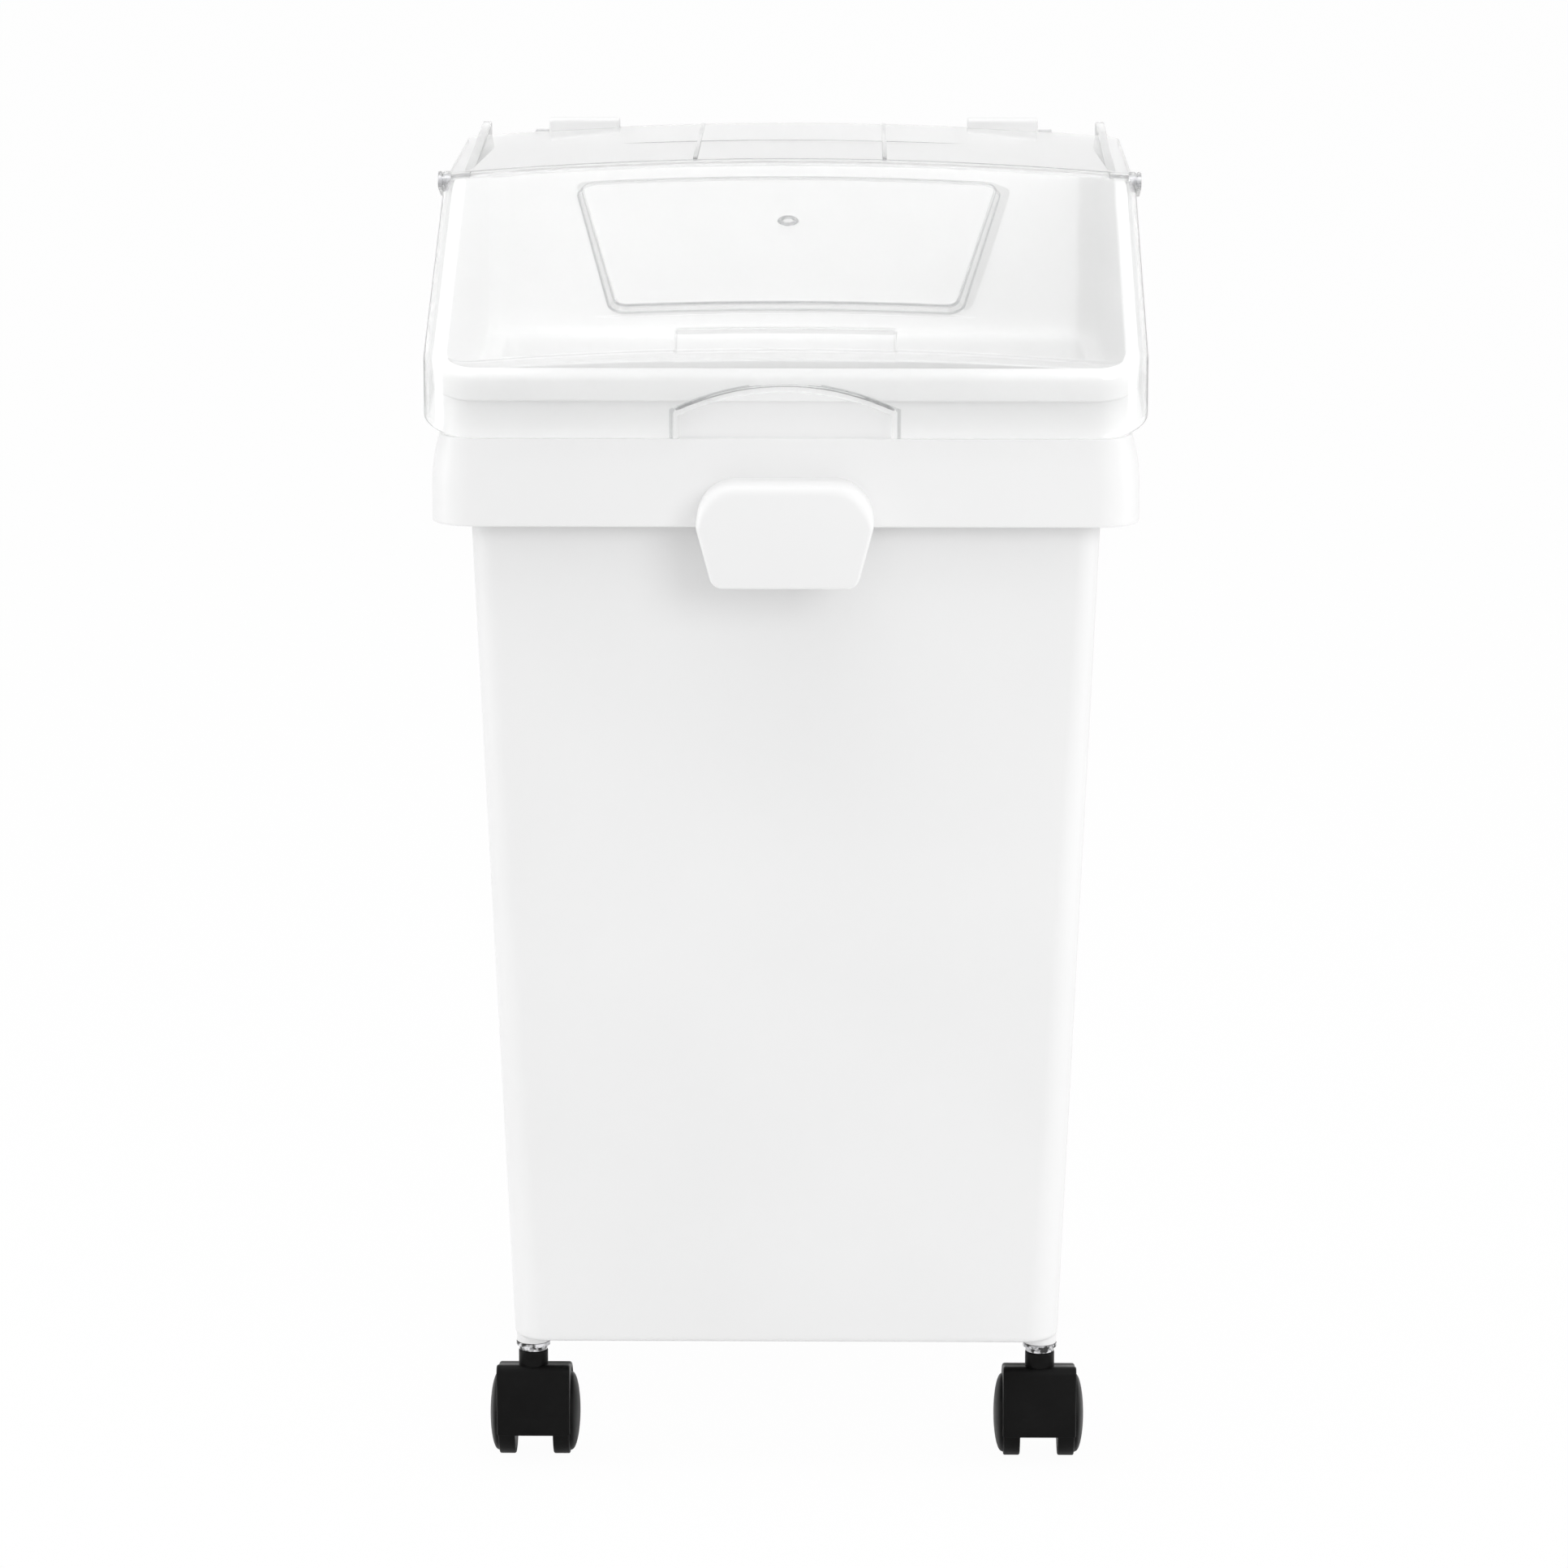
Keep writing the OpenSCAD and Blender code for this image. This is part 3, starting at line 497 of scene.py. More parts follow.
WHITE = white_plastic()
# The last colour of each clear plastic is the painted shade it takes where it is seen edge on.
CLEAR = clear_plastic("lid_clear_plastic", (0.995, 0.997, 0.997), (0.36, 0.37, 0.37), 0.8)
# A greyer copy of the clear plastic that paints shade lines on the lid's steps and cut edges.
CLEAR_SHADE_LINES = clear_plastic("lid_clear_plastic_shade_lines", (0.72, 0.73, 0.73),
                           (0.25, 0.26, 0.26), 0.72)
CASTER_BLACK = black_plastic("caster_black_plastic", 0.33, 900.0)
WHEEL_BLACK = black_plastic("wheel_black_plastic", 0.36, 1200.0)
# The second colour of each metal is the painted dark reflection in its patches.
CHROME = bright_metal("washer_bright_zinc", (0.8, 0.8, 0.82), (0.06, 0.06, 0.06), 0.12)
STEEL = bright_metal("pin_steel", (0.62, 0.62, 0.64), (0.4, 0.4, 0.42), 0.28)


def finish_piece(obj, material, body, slot, *nodes, edge=None):
    marked = [poly.material_index for poly in obj.data.polygons]
    obj.data.materials.clear()
    obj.data.materials.append(material)
    # The edge material is a greyer clear plastic that paints shade lines on the marked faces.
    if edge:
        obj.data.materials.append(edge)
        for poly, index in zip(obj.data.polygons, marked):
            poly.material_index = min(index, 1)
    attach(obj, body)
    if nodes:
        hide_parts(*nodes)
    return obj


# ---- Camera ----

CAM_AT = Vector((41.6, -3669.9, 1153.5))
CAM_AZIMUTH, CAM_ELEVATION = math.radians(0.7), math.radians(12.0)
CAM_LENS, CAM_SENSOR = 144.65, 36.0


def make_camera():
    data = bpy.data.cameras.new("camera")
    data.sensor_width = CAM_SENSOR
    data.lens = CAM_LENS
    data.clip_end = 40.0
    cam = bpy.data.objects.new("camera", data)
    bpy.context.scene.collection.objects.link(cam)
    cam.location = CAM_AT * MM
    level = math.cos(CAM_ELEVATION)
    look = Vector((-math.sin(CAM_AZIMUTH) * level, math.cos(CAM_AZIMUTH) * level,
                   -math.sin(CAM_ELEVATION)))
    cam.rotation_euler = look.to_track_quat("-Z", "Y").to_euler()
    bpy.context.scene.camera = cam


make_camera()

# ---- Tub ----

ARC_STEPS = 12
ARC_TURNS = [math.pi / 2 * k / ARC_STEPS for k in range(1, ARC_STEPS)]
CREST_EASE = 1.0                    # how softly the rim bends at its crest
BEAD_R = 23.0                       # plan radius of the bead's corners
CREST_MARKS = (-8, -5, -3, -1.5, 0, 1.5, 3, 5, 8)
FLAT_IN, FLAT_R = 20.0, 4.0         # the last ring of points on the base and the floor


def rim_height(y):
    slope_z = RIM_Z + (y - CREST_Y) * math.tan(SLOPE)
    return soft_min(RIM_Z, slope_z, CREST_EASE)


def side_steps():
    """Shares along the tub's sides, closer together at the rim's crest."""
    half = RIM_Y - BEAD_R
    marks = [-1 + 2 * k / 40 for k in range(41)]
    marks += [(CREST_Y + d) / half for d in CREST_MARKS]
    marks.sort()
    kept = [marks[0]]
    for m in marks[1:]:
        if m - kept[-1] > 0.004:
            kept.append(m)
    return kept


FRONT_STEPS = [-1 + 2 * k / 30 for k in range(31)]
SIDE_STEPS = side_steps()


def plan_ring(hx, hy, r):
    """Points round a rectangle with round corners, from the front left."""
    ax, ay = hx - r, hy - r
    half = [(ax * f, -hy) for f in FRONT_STEPS]
    half += [(ax + r * math.sin(t), -ay - r * math.cos(t)) for t in ARC_TURNS]
    half += [(hx, ay * f) for f in SIDE_STEPS]
    half += [(ax + r * math.cos(t), ay + r * math.sin(t)) for t in ARC_TURNS]
    return half + [(-x, -y) for x, y in half]


def taper(z):
    return (z - SHELF_Z) * BODY_DRAFT


def tub_profile():
    """The tub's section from the underside round to the inside floor. Each point is
    (step out in x, step out in y, plan radius, height at the front, share of the
    rim's slope that it follows, rounding)."""
    grip_in, collar_in = GRIP_OUT - WALL, COLLAR_OUT - WALL
    flare_mid = GRIP_OUT - 1.5
    under = RIM_FRONT_Z - BEAD_H
    low, shelf_low = taper(BASE_Z), SHELF_Z - WALL
    inner_low = taper(FLOOR_Z) - WALL
    neck_in = NECK_OUT - WALL
    return [
        (low - FLAT_IN, low - FLAT_IN, FLAT_R, BASE_Z, 0, 0),
        (low, low, 19, BASE_Z, 0, 3.5),
        (taper(shelf_low), taper(shelf_low), 12, shelf_low, 0, 3),
        (collar_in, collar_in, 21, shelf_low, 0, 2),
        (flare_mid - WALL, collar_in, 21, FLARE_MID, 0, 6),
        (grip_in, collar_in, 21, FLARE_LOW, 0, 6),
        (grip_in, collar_in, 21, COLLAR_Z, 0, 1.2),
        (GRIP_OUT, COLLAR_OUT, 24, COLLAR_Z, 0, 1.4),
        (GRIP_OUT, COLLAR_OUT, 24, FLARE_LOW, 0, 9),
        (flare_mid, COLLAR_OUT, 24, FLARE_MID, 0, 5),
        (COLLAR_OUT, COLLAR_OUT, 22, SHELF_Z, 0, 1.6),
        (NECK_OUT, NECK_OUT, 18, SHELF_Z, 0, 0.6),
        (NECK_OUT, NECK_OUT, 18, under, 1, 1.6),
        (BEAD_OUT, BEAD_OUT, BEAD_R, under, 1, 2),
        (BEAD_OUT, BEAD_OUT, BEAD_R, RIM_FRONT_Z, 1, 3.5),
        (neck_in, neck_in, 15, RIM_FRONT_Z, 1, 1.5),
        (neck_in, neck_in, 15, SHELF_Z + 1, 0, 2),
        (-WALL, -WALL, 10, SHELF_Z, 0, 3),
        (inner_low, inner_low, 14, FLOOR_Z, 0, 5),
        (inner_low - FLAT_IN, inner_low - FLAT_IN, FLAT_R, FLOOR_Z, 0, 0),
    ]


def tub_shell():
    profile = tub_profile()
    line = round_line([p[:5] for p in profile], [p[5] for p in profile], 5)
    verts = []
    for out_x, out_y, r, z, follow in line:
        for x, y in plan_ring(BODY_X + out_x, BODY_Y + out_y, r):
            verts.append((x, y, z + follow * (rim_height(y) - RIM_FRONT_Z)))
    faces = tube_faces(len(line), len(verts) // len(line))
    return smooth(mesh_object("tub_shell", verts, faces), 50)


HANDLE_W, HANDLE_LOW_W = 98.6, 80.0
HANDLE_OUT, HANDLE_DROP, HANDLE_RISE = 28.0, 30.0, 28.0
HANDLE_T = 3.2
COLLAR_Y = -(BODY_Y + COLLAR_OUT)
HANDLE_FRONT_Y = COLLAR_Y - HANDLE_OUT
HANDLE_TOP_R = 22.0
HANDLE_EDGE_R, HANDLE_LOW_EDGE_R = 6.0, 1.6
HANDLE_LIP = 6.2                    # how far in the handle's open underside starts


def handle_ring(inset, extra_low=0.0):
    """Front outline of the cup handle, taken in by inset or run down by extra_low."""
    low_z = COLLAR_Z - HANDLE_DROP - extra_low + (0 if extra_low else inset)
    mid_z, top_z = COLLAR_Z + 4, COLLAR_Z + HANDLE_RISE - inset
    half_low, half = HANDLE_LOW_W / 2 - inset, HANDLE_W / 2 - inset
    top_half = half - 2
    low_r, top_r = max(7 - inset, 1), HANDLE_TOP_R - inset
    return rounded_outline(
        [(-half_low, low_z), (half_low, low_z), (half, mid_z), (top_half, top_z),
         (-top_half, top_z), (-half, mid_z)],
        [low_r, low_r, 8, top_r, top_r, 8], 12)


def handle_outer():
    """The cup handle's outside, with a front edge that is rounder along its top."""
    back_y = COLLAR_Y + 1.0
    steps = 7
    rings = []
    for k in range(steps + 1):
        t = math.pi / 2 * k / steps
        ring = []
        for (x, z), (ix, iz) in zip(handle_ring(0), handle_ring(HANDLE_EDGE_R)):
            up = smooth_step((z - COLLAR_Z + 6) / 26)
            r = lerp(HANDLE_LOW_EDGE_R, HANDLE_EDGE_R, up)
            share = r * (1 - math.sin(t)) / HANDLE_EDGE_R
            ring.append((lerp(x, ix, share), HANDLE_FRONT_Y + r * (1 - math.cos(t)),
                         lerp(z, iz, share)))
        rings.append(ring)
    rings.append([(x, back_y, z) for x, z in handle_ring(0)])
    verts = [v for ring in rings for v in ring]
    return mesh_object("cup_handle", verts, tube_faces(len(rings), len(rings[0])))


def cup_handle():
    obj = handle_outer()
    hollow = prism("hollow", handle_ring(HANDLE_T, 40), HANDLE_FRONT_Y + HANDLE_T,
                   COLLAR_Y + 5, "y")
    low_z = COLLAR_Z - HANDLE_DROP - 1
    lip = HANDLE_FRONT_Y + HANDLE_LIP
    wedge = prism("wedge", [(lip, low_z - 5), (lip, low_z), (COLLAR_Y + 1, COLLAR_Z),
                            (COLLAR_Y + 5, low_z - 5)], -HANDLE_LOW_W, HANDLE_LOW_W, "x")
    cut(obj, hollow, wedge)
    bevel(obj, 0.7, 2, 50)
    return smooth(obj, 35)


BLOCK_SPAN, BLOCK_W, BLOCK_T, BLOCK_H = 258.0, 43.5, 12.0, 14.0


def hinge_block(side):
    front, back = HINGE.y - BLOCK_T / 2, HINGE.y + BLOCK_T / 2
    low_z = RIM_Z - BEAD_H + 1
    outline = rounded_outline(
        [(RIM_Y - 2, low_z), (HINGE.y - 2, low_z), (back, low_z + 8),
         (back, RIM_Z + BLOCK_H), (front, RIM_Z + BLOCK_H), (front, RIM_Z - 1),
         (RIM_Y - 2, RIM_Z - 1)], [0, 3, 3, 2.5, 2.5, 0, 0], 6)
    x = side * BLOCK_SPAN / 2
    obj = prism("hinge_block", outline, x - BLOCK_W / 2, x + BLOCK_W / 2, "x")
    bevel(obj, 1.2, 3, 50)
    return smooth(obj, 40)


STEM_IN_X, STEM_IN_Y = 9.8, 25.0    # from the base's sides in to the stems
STEM_X = BODY_X + taper(BASE_Z) - STEM_IN_X
STEM_Y = BODY_Y + taper(BASE_Z) - STEM_IN_Y
REAR_IN = 6.0                       # the rear casters stand further in
BOSS_Z, BOSS_R, BOSS_HOLE_R = 73.5, 9.5, 4.2


def stem_at(sx, sy):
    """Plan place of the stem on side sx and end sy."""
    return sx * (STEM_X - max(sy, 0) * REAR_IN), sy * STEM_Y


def caster_boss(sx, sy):
    profile = round_line(
        [(BOSS_HOLE_R, BOSS_Z), (BOSS_R, BOSS_Z), (BOSS_R, BASE_Z + 5),
         (BOSS_HOLE_R, BASE_Z + 5)], [0, 0.8, 0, 0])
    return smooth(lathe("caster_boss", profile, (*stem_at(sx, sy), 0)), 40)


def make_tub():
    pieces = {"tub_shell": tub_shell(), "cup_handle": cup_handle(),
              "left_hinge_block": hinge_block(-1), "right_hinge_block": hinge_block(1)}
    for corner in sorted(CORNERS, key=CORNERS.get):
        pieces[corner + "_boss"] = caster_boss(*CORNERS[corner])
    for name, obj in pieces.items():
        obj.name = name
        finish_piece(obj, WHITE, "base", "tub_white", "tub")


make_tub()

# ---- Lids ----


def crown_height(x):
    """Height over the rim of the lids' crowned outside, at x from the middle."""
    return CROWN - CROWN_R + math.sqrt((CROWN_R + LID_UP) ** 2 - x * x)


def lid_height(x, y):
    """Height of the flip lid's outside, flat behind the crest and sloped before it."""
    rise = crown_height(x)
    flat = RIM_Z + rise
    slope_z = RIM_Z + (y - CREST_Y) * math.tan(SLOPE) + rise / math.cos(SLOPE)
    return soft_min(flat, slope_z, CREST_EASE)


TAIL_X = BODY_X + NECK_OUT - WALL - 2.0
FIELD_IN = 28.45                    # how far in the lid's straight-sided field starts
ARCH_HALF, ARCH_BORDER, ARCH_PROUD = 59.0, 4.5, 1.5
ARCH_LEG_H, ARCH_RISE = 13.0, 13.0
ARCH_ROWS = (0, 0.8, 2.0, 3.4, 4.1, 4.7, 5.4, 6.6)  # heights over the arch's edge
ARCH_R = (ARCH_HALF ** 2 + ARCH_RISE ** 2) / (2 * ARCH_RISE)
FOLD_Z = lid_height(LID_X, LID_FRONT_Y)
SKIRT_Z = LID_LOW.z
ARCH_CENTRE_Z = SKIRT_Z + ARCH_LEG_H + ARCH_RISE - ARCH_R
LIFT_HALF, LIFT_DEEP, LIFT_STEP = 60.5, 28.0, 0.5
PIVOT_CUT_Y = PIVOT.y - 2.4         # where the sheet stops beside the narrower tail
EAR_R = 5.5                         # round end of the ears and bosses at the pivots
EAR_T = 2.5
NEAR = 1e-3
FIELD_DEEP = 33.0                   # how far in the field starts behind the front edge

PANEL_LOW, PANEL_HIGH = 97.0, 123.0
PANEL_FROM, PANEL_LEN, PANEL_RISE, PANEL_CORNER = 52.5, 152.5, 3.0, 10.0
GATE_UP = 20.0


def front_marks():
    """Where the lid's front edge has a column of points, from left to right, closer
    together at the arch's border."""
    right = [6, 13, 20, 27, 34, 41, 47, 52, 56, 58.3, ARCH_HALF, 59.6, 60.2, 60.8, 61.4,
             62.4, 63.4, 64.2, 65.5, 69, 76, 88, 102, 118, 136, 154, LID_X - LID_R]
    return [-x for x in reversed(right)] + [0] + right


def side_marks():
    """Where the lid's sides have a row of points, from the front to the back."""
    first = LID_FRONT_Y + LID_R
    marks = [lerp(first, -14, k / 22) for k in range(23)]
    return marks + [-10.5, -8, -6, PIVOT_CUT_Y, -3, -1.5, 0, 2, 5, 8, LID_TAIL_Y]


def lid_parts(inset, deep):
    """The lid's outline, set in by inset at the sides and by deep along the front, as
    its left side, left corner, front, right corner and right side."""
    rx, ry = LID_R - inset, max(LID_R - deep, 0.0)
    hx, fy = LID_X - inset, LID_FRONT_Y + deep
    ax = LID_X - LID_R
    ay = fy + ry
    last = LID_FRONT_Y + LID_R
    shares = [(s - last) / (LID_TAIL_Y - last) for s in side_marks()]
    left = [(-hx, lerp(max(ay, last), LID_TAIL_Y, s)) for s in reversed(shares)]
    corner = [(-ax - rx * math.cos(t), ay - ry * math.sin(t)) for t in ARC_TURNS]
    mirrored = [[(-x, y) for x, y in reversed(part)] for part in (corner, left)]
    return [left, corner, [(x, fy) for x in front_marks()]] + mirrored


def lid_path(inset, deep=None):
    """The same outline in one run, set in by deep along the front if that is given."""
    parts = lid_parts(inset, inset if deep is None else deep)
    return [point for part in parts for point in part]


def lift_recess(x, y):
    """Depth of the shallow finger rest at the middle of the lid's front edge."""
    across = smooth_step((LIFT_HALF + 0.6 - abs(x)) / 1.2)
    along = smooth_step((LID_FRONT_Y + LIFT_DEEP + 1.0 - y) / 2.0)
    return LIFT_STEP * across * along


def skirt_low(y):
    """Height of the side skirt's lower edge, which follows the rim's slope."""
    run = min(max(y, LID_FRONT_Y), CREST_Y) - LID_FRONT_Y
    return SKIRT_Z + run * math.tan(SLOPE)


def arch_top(x):
    return ARCH_CENTRE_Z + math.sqrt(ARCH_R ** 2 - min(abs(x), ARCH_HALF) ** 2)


def border_proud(x, z):
    """How far the border round the arch stands out from the front skirt."""
    out = max(abs(x) - ARCH_HALF - ARCH_BORDER,
              math.hypot(x, z - ARCH_CENTRE_Z) - ARCH_R - ARCH_BORDER)
    return ARCH_PROUD * smooth_step(0.5 - out / 1.1)


def lid_skirt_rows():
    """Rows of the skirt from its lower edge up to the fold, the first three of them
    below the arch's edge."""
    columns = []
    for x, y in lid_path(0):
        front = y < LID_FRONT_Y + NEAR
        low, top = skirt_low(y), lid_height(x, y) - FOLD_R
        mid = arch_top(x) if front else lerp(low, top, 0.4)
        heights = [lerp(low, mid, t) for t in (0, 0.3, 0.7)]
        heights += [mid + d for d in ARCH_ROWS]
        last = heights[-1]
        heights += [lerp(last, top, k / 5) for k in range(1, 6)]
        columns.append([(x, y - (border_proud(x, z) if front else 0), z) for z in heights])
    return [list(row) for row in zip(*columns)]


FOLD_STEPS = 8
STRIP_FROM = 4                      # first fold row that is left out beside the tail
STRIP_ROWS = FOLD_STEPS + 3         # roof rows from the fold in to where the tail starts


def roof_point(x, y, drop=0.0):
    return (x, y, lid_height(x, y) - drop - lift_recess(x, y))


def lid_roof_rows():
    """Rows from the fold inwards, as far as the straight-sided field."""
    rows = []
    for k in range(1, FOLD_STEPS + 1):
        t = math.pi / 2 * k / FOLD_STEPS
        inset = FOLD_R * (1 - math.cos(t))
        rows.append([roof_point(x, y, FOLD_R * (1 - math.sin(t)))
                     for x, y in lid_path(inset)])
    tail_in = LID_X - TAIL_X
    for inset, deep in ((FOLD_R + 1, FOLD_R + 1), (11, 11), (14, 14), (tail_in, 18), (20, 22),
                        (24, 25), (26.5, 26.8), (27.4, 27.6), (28, 28.4), (28.2, 29.2),
                        (28.4, 30.5), (FIELD_IN, FIELD_DEEP)):
        rows.append([roof_point(x, y) for x, y in lid_path(inset, deep)])
    return rows


EDGE_OUT, EDGE_IN = 2.2, 2.2        # reach of the panel's sloped edge
# Shares of the way from the field's edge to the panel, closer together over the crest
FIELD_SHARES = (0, 0.06, 0.12, 0.18, 0.22, 0.26, 0.29, 0.32, 0.35, 0.38, 0.41, 0.44, 0.48,
                0.54, 0.62, 0.72, 0.84, 1)
GATE_R = 7.5                        # reach of the gate mark with the flat round it
# The gate mark's section as (radius, height over the panel)
GATE_PROFILE = ((6.4, 0), (5.9, 0.1), (5.5, 0.5), (5.1, 0.75), (4.4, 0.8), (3.6, 0.7),
                (2.8, 0.25), (2.0, 0.1), (0.01, 0.1))


def panel_ring(grow):
    """Points round the raised panel's outline, grown by grow, in plan."""
    scale = math.cos(SLOPE)
    y0 = LID_FRONT_Y + (PANEL_FROM - grow) * scale
    y1 = LID_FRONT_Y + (PANEL_FROM + PANEL_LEN + grow) * scale
    low, high = PANEL_LOW + grow, PANEL_HIGH + grow
    r = max(PANEL_CORNER + grow, 1.0)
    outline = rounded_outline([(low, y0), (high, y1), (-high, y1), (-low, y0)],
                              [r, r, r, r], ARC_STEPS - 2)
    n = ARC_STEPS - 1
    corners = [outline[k * n:(k + 1) * n] for k in range(4)]
    pts = []
    for k, marks in enumerate((front_marks(), side_marks()) * 2):
        a, b = corners[k - 1][-1], corners[k][0]
        shares = [(m - marks[0]) / (marks[-1] - marks[0]) for m in marks]
        pts += [(lerp(a[0], b[0], s), lerp(a[1], b[1], s)) for s in shares] + corners[k]
    return pts


def field_ring():
    """The straight-sided edge of the field round the panel, point for point as
    panel_ring has them."""
    left, left_corner, front, right_corner, right = lid_parts(FIELD_IN, FIELD_DEEP)
    n, widen = len(left_corner), right[-1][0] / front[-1][0]
    back = [(-x * widen, LID_TAIL_Y) for x, _ in front]
    return (front + right_corner + right + [right[-1]] * n + back + [left[0]] * n + left
            + left_corner)


def lid_field_rows():
    """Closed rings from the field's edge to the raised panel and on to the gate mark."""
    outer = field_ring()
    edge = panel_ring(EDGE_OUT)
    flat = math.cos(SLOPE)
    rows = []
    for t in FIELD_SHARES:
        rows.append([(lerp(a[0], b[0], t), lerp(a[1], b[1], t), 0.0)
                     for a, b in zip(outer, edge)])
    for k in range(1, 11):
        rows.append([(x, y, PANEL_RISE * smooth_step(k / 10))
                     for x, y in panel_ring(lerp(EDGE_OUT, -EDGE_IN, k / 10))])
    inner = panel_ring(-EDGE_IN - 1.5)
    rows.append([(x, y, PANEL_RISE) for x, y in inner])
    gate_y = LID_FRONT_Y + (PANEL_FROM + PANEL_LEN / 2 + GATE_UP) * flat
    turns = [math.atan2(y - gate_y, x) for x, y in inner]

    def gate_ring(r):
        return [(r * math.cos(a), gate_y + r * flat * math.sin(a)) for a in turns]

    around = gate_ring(GATE_R)
    for k in range(1, 11):
        t = (k / 10) ** 0.8
        rows.append([(lerp(x, gx, t), lerp(y, gy, t), PANEL_RISE)
                     for (x, y), (gx, gy) in zip(inner, around)])
    for r, up in GATE_PROFILE:
        rows.append([(x, y, PANEL_RISE + up) for x, y in gate_ring(r)])
    return [[(x, y, lid_height(x, y) + up / flat) for x, y, up in row] for row in rows]


def lid_shade_line_faces(at):
    """Where the clear lid has a step, whose faces take a greyer clear plastic as painted shade
    that shows the step as a line.
    """
    if at.y < LID_FRONT_Y + 1 and at.z < FOLD_Z - FOLD_R:
        return 0.08 < LID_FRONT_Y - at.y < ARCH_PROUD - 0.08
    up = (at.z - lid_height(at.x, at.y)) * math.cos(SLOPE)
    return 0.12 < up < 0.7 or PANEL_RISE - 0.7 < up < PANEL_RISE - 0.12 or up > PANEL_RISE + 0.2


def flip_lid_panel():
    skirt, roof, field = lid_skirt_rows(), lid_roof_rows(), lid_field_rows()
    rows = skirt + roof
    verts = [v for row in rows for v in row]
    path = lid_path(0)
    strip_from, strip_to = len(skirt) + STRIP_FROM, len(skirt) + STRIP_ROWS

    def keep(i, j):
        a, b = path[j], path[j + 1]
        if i < 3 and max(a[1], b[1]) < LID_FRONT_Y + NEAR:
            return max(abs(a[0]), abs(b[0])) > ARCH_HALF + NEAR
        if strip_from <= i < strip_to:
            return min(a[1], b[1]) < PIVOT_CUT_Y - NEAR
        return True

    faces = strip_faces(len(rows), len(path), keep=keep)
    faces += strip_faces(len(field), len(field[0]), len(verts), closed=True)
    verts += [v for row in field for v in row]
    obj = mesh_object("flip_lid_panel", verts, faces, weld=0.02)
    # The lid's steps take the painted shade lines.
    mark_edges(obj, lid_shade_line_faces)
    outer_count = len(obj.data.vertices)
    solidify(obj, LID_T)
    wall_y = (LID_FRONT_Y + LID_T) * MM
    for v in obj.data.vertices[outer_count:]:
        if v.co.y < wall_y and v.co.z < (FOLD_Z - FOLD_R) * MM:
            v.co.y = wall_y
    bevel(obj, 0.5, 2, 60)
    return smooth(obj, 50)


def pivot_boss(side):
    """The lid's own boss round the pivot pin."""
    x0, x1 = sorted((side * (LID_X - LID_T - 2), side * (LID_X - 0.01)))
    hole_r, ease = 2.6, 0.6
    profile = [(hole_r, x0), (EAR_R - ease, x0), (EAR_R, x0 + ease), (EAR_R, x1 - ease),
               (EAR_R - ease, x1), (hole_r, x1)]
    return smooth(lathe("pivot_boss", profile, (0, PIVOT.y, PIVOT.z), "x", 64), 40)


def make_flip_lid():
    panel = flip_lid_panel()
    # The lid's steps and cut edges take the greyer painted shade material.
    finish_piece(panel, CLEAR, "flip_lid", "clear_lid", "flip_lid", edge=CLEAR_SHADE_LINES)
    for side, name in ((-1, "left_pivot_boss"), (1, "right_pivot_boss")):
        boss = pivot_boss(side)
        boss.name = name
        finish_piece(boss, CLEAR, "flip_lid", "clear_lid", "flip_lid")


make_flip_lid()

# ---- Rear cover ----

COVER_SKIRT_FROM, COVER_SKIRT_TO = 16.0, 190.0
COVER_SKIRT_Z = RIM_Z + LID_UP - SKIRT_H
COVER_EDGE_R = 1.6                  # rounding along the plate's upper edge
NOTCH_Y = HINGE.y - BLOCK_T / 2 - 9
PAST = 50.0                         # how far a cutting block runs past what it cuts
BACK_WALL_HALF = 172.0


def cover_height(x):
    return RIM_Z + crown_height(x)


def cover_ring(inset, drop):
    """A closed ring of the cover's plan, square in front and round behind."""
    hx = COVER_X - inset
    y0, y1 = COVER_FRONT_Y + inset, RIM_Y - inset
    r = max(COVER_R - inset, 0.5)
    xs = [lerp(-1, 1, k / 48) * (hx - r) for k in range(49)]
    ys = [lerp(y0, y1 - r, k / 24) for k in range(25)]
    arc = [math.pi / 2 * k / 8 for k in range(1, 8)]
    pts = [(-hx, y) for y in reversed(ys)] + [(x, y0) for x in xs] + [(hx, y) for y in ys]
    pts += [(hx - r + r * math.cos(t), y1 - r + r * math.sin(t)) for t in arc]
    pts += [(x, y1) for x in reversed(xs)]
    pts += [(-hx + r - r * math.sin(t), y1 - r + r * math.cos(t)) for t in arc]
    return [(x, y, cover_height(x) - drop) for x, y in pts]


def cover_plate():
    """The crowned plate, as rings from the middle of its underside over the rounded edge
    to the middle of its top."""
    rings = [cover_ring(d, LID_T) for d in (98, 46, 20, 7, 2, 0.01, 0)]
    for k in range(5):
        t = math.pi / 2 * k / 4
        rings.append(cover_ring(COVER_EDGE_R * (1 - math.cos(t)),
                                COVER_EDGE_R * (1 - math.sin(t))))
    rings += [cover_ring(d, 0) for d in (2.4, 4, 7, 12, 20, 32, 46, 62, 80, 98)]
    verts = [v for ring in rings for v in ring]
    return mesh_object("cover_plate", verts, tube_faces(len(rings), len(rings[0])))


def notch_tools():
    tools = []
    for s in (-1, 1):
        x, half = s * BLOCK_SPAN / 2, BLOCK_W / 2 + RUN_GAP
        tools.append(box_prism("notch", x - half, x + half, NOTCH_Y, RIM_Y + PAST,
                               RIM_Z - PAST, RIM_Z + PAST))
    return tools


